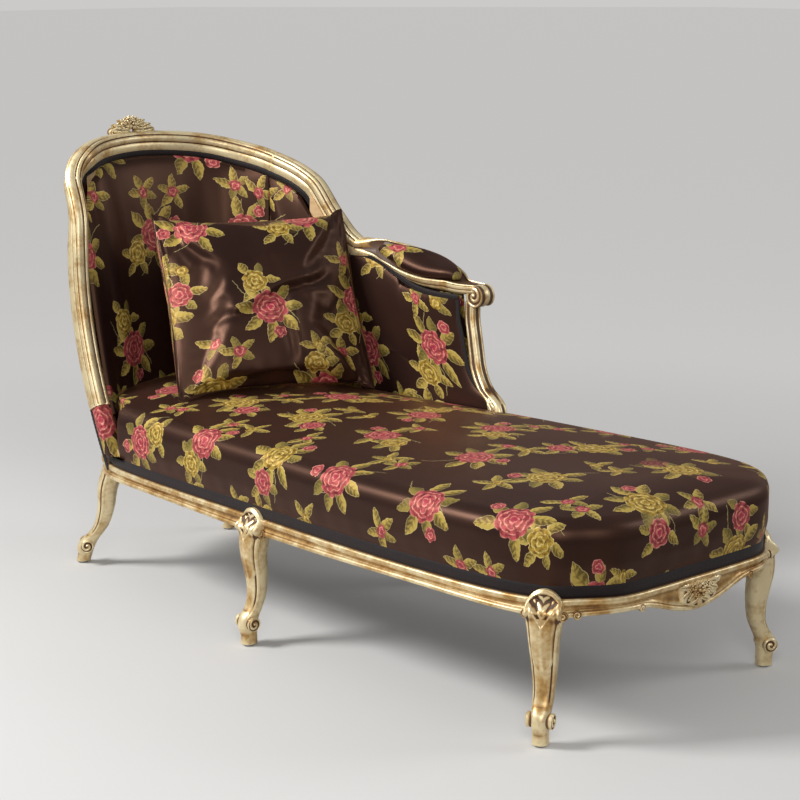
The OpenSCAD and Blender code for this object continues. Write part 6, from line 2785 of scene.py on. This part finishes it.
    def arm_pad(self) -> None:
        """Builds the oval pad on the arm board."""
        z = self.size
        rows = [
            (0.0, 0.0), (0.5, 0.0), (0.9, 0.0), (1, 0.12), (1.035, 0.26), (1.0, 0.5), (0.9, 0.71), (0.7, 0.885),
            (0.42, 0.975), (0.2, 1.0), (0.0, 1.01),
        ]  # fmt: skip
        rows = chaikin(np.array(rows), 2)
        a = np.linspace(0, 2 * np.pi, 97)
        k = mix(1.5, 5.75, 0.5 + 0.5 * rows[:, 0:1] * sign_pow(np.cos(a), 0.9)[None])
        half = self.arm.rows.at(k)[..., 3] / 2 - 9
        u = half * rows[:, 0:1] * sign_pow(np.sin(a), 0.75)[None]
        w = rows[:, 1:2] * z.arm_pad_h - 3 + 0.6 + 0 * u
        points = self.arm.on(k, u, w)
        uv = np.stack([k * 0.045 + 0.21, u / 1000 + 0.45], -1)
        pad = Bench.skin("arm_pad_brocade", points, uv)
        Bench.smooth(pad, SOFT_ANGLE)
        self.finishes.dress(pad, Slot.BROCADE, Body.CHAISE, "armrest_pad")

    def build(self) -> None:
        """Builds the back's upholstery."""
        sh, z = self.shell, self.size
        seam, gap, start = sh.seam_at + 0.3, 0.02, sh.left_at + 0.5
        crown, to_post = z.pad_t - z.rail_thick - self.edge, -(z.braid_b + 0.9) / sh.front_step
        self.pad("inside_back_brocade", "inside_back", start, seam, crown, 150)
        self.pad("inside_wing_brocade", "inside_wing", seam + gap, sh.wing_end, 20, 60)
        self.pad("inside_arm_brocade", "inside_arm", sh.wing_end + gap, sh.front_at, 12, 70, to_post)
        self.cover("outside_back_brocade", "outside_back", start, sh.seam_at, 120)
        self.cover("outside_arm_brocade", "outside_arm", sh.seam_at + gap, sh.front_at, 90, 0.0)
        self.sleeve()
        self.braid()
        self.arm_pad()


@dataclass
class LooseCushion:
    """The loose square cushion that stands on the seat and leans back, blown up as cloth."""

    finishes: Finishes
    size: Sizes = SIZES
    x: float = 469
    y: float = 18
    turn: float = -23.8
    lower: float = -9.3
    pull: float = 0.055
    slack: float = 14
    puff: float = 0.014
    frames: int = 20
    play: float = 1
    seat_dip: float = 6.5
    filling_t: float = 0.5
    filling_w: float = 0.76

    @property
    def place(self) -> Matrix:
        """Place of the cushion's own frame, in metres.

        Returns:
            The matrix.
        """
        z = self.size
        spot = Vector(to_frame(np.array([self.x, self.y, z.seat_crown + z.gap])))
        return (
            Matrix.Translation(spot)
            @ Matrix.Rotation(math.radians(90 + self.turn), 4, "Z")
            @ Matrix.Rotation(math.radians(-z.pillow_lean), 4, "X")
            @ Matrix.Translation((0, 0, z.pillow_w / 2000 + self.lower / 1000))
        )

    def shape(self, thick: float, wide: float, grid: int) -> tuple[Array, Array]:
        """Crowned square whose sides draw in, as a closed wrap of rows.

        Args:
            thick: Thickness at the middle in millimetres.
            wide: Edge length in millimetres.
            grid: Cells along an edge.

        Returns:
            Its points in its own frame, in metres, and their pattern places.
        """
        g = np.sin(np.pi / 2 * np.linspace(-1, 1, grid + 1) * 0.999)
        g = g / g[-1]
        U, V = np.meshgrid(g, g, indexing="ij")
        x = U * (1 - self.pull * (1 - V * V)) * wide / 2
        y = V * (1 - self.pull * (1 - U * U)) * wide / 2
        h = ((1 - np.abs(U) ** 2.4) * (1 - np.abs(V) ** 2.4)).clip(0) ** 0.55 * thick / 2
        front = np.stack([x, -h - 0.6, y], -1)
        back = np.stack([x, h + 0.6, y], -1)
        uv = np.stack([U, V], -1) * wide / 2000
        points = np.concatenate([front, back[::-1]], 0) / 1000
        return points, np.concatenate([uv + 0.137, uv[::-1] * np.array([-1, 1]) + 0.61], 0)

    def inflate(self, obj: bpy.types.Object) -> None:
        """Blows the cover up as cloth and lets it gather towards its corners.

        Args:
            obj: The piece.
        """
        Bench.pick(obj)
        rest = Bench.coords(obj)
        cloth = obj.modifiers.new("Cloth", "CLOTH")
        settings = cloth.settings
        settings.use_pressure = True
        settings.uniform_pressure_force = 4.0
        settings.quality = 5
        settings.mass = 0.25
        settings.tension_stiffness = settings.compression_stiffness = 25
        settings.bending_stiffness = 0.25
        settings.shrink_min = -0.03
        settings.effector_weights.gravity = 0
        cloth.collision_settings.use_collision = False
        for at in range(1, self.frames + 1):
            bpy.context.scene.frame_set(at)
        bpy.ops.object.modifier_apply(modifier=cloth.name)
        bpy.context.scene.frame_set(1)
        moved = Bench.coords(obj) - rest
        size = np.linalg.norm(moved, axis=1, keepdims=True)
        Bench.move(obj, rest + moved * np.minimum(1, self.puff / np.maximum(size, 1e-9)))

    def creases(self, obj: bpy.types.Object) -> None:
        """Presses in the folds, a dimple near the middle and the gathers along the hems.

        Args:
            obj: The piece.
        """
        co = Bench.coords(obj)
        x, y = co[:, 0] * 1000, co[:, 2] * 1000
        face = np.clip(-co[:, 1] * 1000 / 40, 0, 1)
        dent = np.zeros(len(co))
        folds = (
            (-95, -60, 24, 300, 17, 7),
            (34, -12, -93, 185, 13, 7),
            (20, 30, 100, 110, 3.5, 8),
            (-60, -40, 200, 110, 5, 7),
            (60, 0, -40, 150, 4, 8),
        )
        for x0, y0, angle, reach, depth, wide in folds:
            a = math.radians(angle)
            along = (x - x0) * math.cos(a) + (y - y0) * math.sin(a)
            beside = -(x - x0) * math.sin(a) + (y - y0) * math.cos(a) + 5 * np.sin(along * 0.035)
            span = ease((along + 14) / 40) * ease((reach - along) / 60)
            dent += depth * span * bell(beside, wide)
            dent -= 0.5 * depth * span * bell(beside - 2.4 * wide, wide * 1.5)
        dent += 4 * np.exp(-(((x - 30) ** 2 + (y + 5) ** 2) / 30**2))
        hem = 205
        for reach, side in ((y + hem, x), (x + hem, y), (x - hem, y), (y - hem, x)):
            dent += 1.5 * bell(reach, 42) * np.sin(side * 0.15 + np.sin(side * 0.043) * 2.4)
        co[:, 1] += dent * face / 1000
        Bench.move(obj, co)

    def build(self) -> None:
        """Builds the cover and the pad inside it."""
        thick, wide = self.size.pillow_t - self.slack, self.size.pillow_w
        cover = self.blank("cushion_brocade", thick, wide - 4, 60)
        self.inflate(cover)
        self.creases(cover)
        self.widen(cover)
        cover.data.transform(self.place)
        self.lift_off(cover)
        Bench.modify(cover, "SUBSURF", levels=1, render_levels=1)
        Bench.smooth(cover, 75)
        self.finishes.dress(cover, Slot.BROCADE, Body.CUSHION, "pillow_cover")
        insert = self.blank("cushion_filling", thick * self.filling_t, wide * self.filling_w, 30)
        insert.data.transform(self.place)
        Bench.smooth(insert, 75)
        self.finishes.dress(insert, Slot.FILLING, Body.CUSHION, "pillow_insert")

    def blank(self, name: str, thick: float, wide: float, grid: int) -> bpy.types.Object:
        """The cushion's shape as a mesh in its own frame."""
        points, uv = self.shape(thick, wide, grid)
        return Bench.skin(name, self.wrap(points), self.wrap(uv), frame_points=True)

    def widen(self, obj: bpy.types.Object) -> None:
        """Brings the cover back to the cushion's full width and height.

        Args:
            obj: The piece.
        """
        co = Bench.coords(obj)
        for axis in (0, 2):
            co[:, axis] *= (self.size.pillow_w - self.play) / 1000 / np.ptp(co[:, axis])
        Bench.move(obj, co)

    @staticmethod
    def wrap(rows: Array) -> Array:
        """Front and back rows joined into one band that closes on itself.

        Args:
            rows: The front's rows and then the back's.

        Returns:
            The band.
        """
        half = len(rows) // 2
        front, back = rows[:half], rows[half:][::-1]
        return np.concatenate([front, back[:, ::-1], front[:, :1]], 1)

    def lift_off(self, obj: bpy.types.Object) -> None:
        """Draws the cushion's lowest part up to just above the seat.

        Args:
            obj: The piece.
        """
        co = Bench.coords(obj)
        deep = 0.02
        level = (self.size.seat_crown - self.seat_dip) / 1000 + deep
        low = co[:, 2] < level
        co[low, 2] = level - (level - co[low, 2]) * deep / max(deep, level - co[:, 2].min())
        Bench.move(obj, co)


@dataclass
class HiddenFrame:
    """The beech frame, screws and glides that stay as their own nodes."""

    finishes: Finishes
    beech: tuple[str, ...] = (
        "corner_blocks", "bearer_mid", "bearer_foot", "wood_dowels", "post_left", "post_rear_left",
        "post_rear_right", "post_right", "tack_rail_left", "tack_rail_rear", "tack_rail_right",
    )  # fmt: skip
    steel: tuple[str, ...] = ("foot_glides", "corner_screws")

    def build(self) -> None:
        """Gives the nodes their finishes."""
        for names, slot in ((self.beech, Slot.BEECH), (self.steel, Slot.STEEL)):
            for name in names:
                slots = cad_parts[name].data.materials
                slots.clear()
                slots.append(self.finishes.made[slot])
                log.info("%s: %s", name, slot.value)


# --------------------------------------------------------------------- studio


@dataclass
class Studio:
    """Pale floor, soft lamps and the camera at the photograph's angle."""

    lens: float = 97.86
    azimuth: float = 46.575
    down: float = 11.62
    at: tuple[float, float, float] = (3.452, -3.228, 1.466)
    fade: tuple[float, float] = (0.9, 3.6)

    def floor(self) -> None:
        """Builds the flat floor, whose far part glows for the camera like a lit wall."""
        Bench.deselect()
        bpy.ops.mesh.primitive_plane_add(size=90, location=(0, 0, -0.0005))
        plane = bpy.context.object
        plane.name = "studio_floor"
        s = Shader("pale_floor")
        tone = s.noise(s.place(), 0.7, 2.0)
        far = s.number("VectorMath", {"operation": "LENGTH"}, {0: s.place()}, "Value").step(*self.fade)
        seen = s.number("LightPath", {}, {}, "Is Camera Ray")
        s.set(
            Base_Color=s.blend(far, s.blend(tone, tint("c4c3c1"), tint("cbcac8")), tint("6b6a69")),
            Roughness=0.75,
            Emission_Color=tint("c6c5c3"),
            Emission_Strength=(far * 0.74 + 0.12) * seen,
        )
        plane.data.materials.append(s.material)

    @staticmethod
    def lamp(name: str, power: float, size: float, at: Sequence[float], to: Sequence[float]) -> None:
        """Adds a square soft lamp that points at a place.

        Args:
            name: Name of the lamp.
            power: Power in watts.
            size: Length of its sides in metres.
            at: Where it hangs.
            to: Where it points.
        """
        Bench.deselect()
        bpy.ops.object.light_add(type="AREA", location=at)
        lamp = bpy.context.object
        lamp.name = name
        lamp.data.energy, lamp.data.size = power, size
        lamp.rotation_euler = (Vector(to) - Vector(at)).to_track_quat("-Z", "Y").to_euler()

    def light(self) -> None:
        """Adds the lamps and the even light of the room."""
        world = bpy.data.worlds.new("room")
        bpy.context.scene.world = world
        world.use_nodes = True
        nodes, links = world.node_tree.nodes, world.node_tree.links
        seen = nodes.new("ShaderNodeBackground")
        seen.inputs["Color"].default_value = tint("cbcac8")
        room = nodes["Background"]
        room.inputs["Color"].default_value = (0.80, 0.80, 0.81, 1)
        room.inputs["Strength"].default_value = 0.32
        rays, choice = nodes.new("ShaderNodeLightPath"), nodes.new("ShaderNodeMixShader")
        links.new(rays.outputs["Is Camera Ray"], choice.inputs[0])
        links.new(room.outputs[0], choice.inputs[1])
        links.new(seen.outputs[0], choice.inputs[2])
        links.new(choice.outputs[0], nodes["World Output"].inputs["Surface"])
        self.lamp("key", 190, 1.3, (-1.7, -2.9, 3.1), (-0.1, 0, 0.4))
        self.lamp("front", 55, 1.4, (3.0, -2.6, 2.3), (0.3, 0, 0.4))
        self.lamp("rim", 40, 1.6, (2.6, 3.0, 2.6), (0, 0, 0.5))

    def camera(self) -> None:
        """Adds the camera."""
        Bench.deselect()
        bpy.ops.object.camera_add(location=self.at)
        camera = bpy.context.object
        camera.data.lens = self.lens
        camera.data.sensor_width = 36.0
        camera.data.clip_end = 60
        camera.rotation_euler = (math.radians(90 - self.down), 0, math.radians(self.azimuth))
        bpy.context.scene.camera = camera

    def build(self) -> None:
        """Sets up the studio."""
        bpy.context.scene.view_settings.view_transform = "Standard"
        self.floor()
        self.light()
        self.camera()


def main() -> None:
    """Builds every sub-assembly in order."""
    finishes = Finishes()
    Studio().build()
    SeatFrame(finishes).build()
    for place, station in PLAN.legs.items():
        Leg(finishes, f"leg_{place}_right", station).build()
    for place, station in reversed(PLAN.legs.items()):
        Leg(finishes, f"leg_{place}_left", -station).build()
    ShowWood(finishes).build()
    seat = SeatUpholstery(finishes)
    seat.build()
    BackUpholstery(finishes, seat).build()
    LooseCushion(finishes).build()
    HiddenFrame(finishes).build()
    Bench.deselect()


if __name__ == "__main__":
    main()
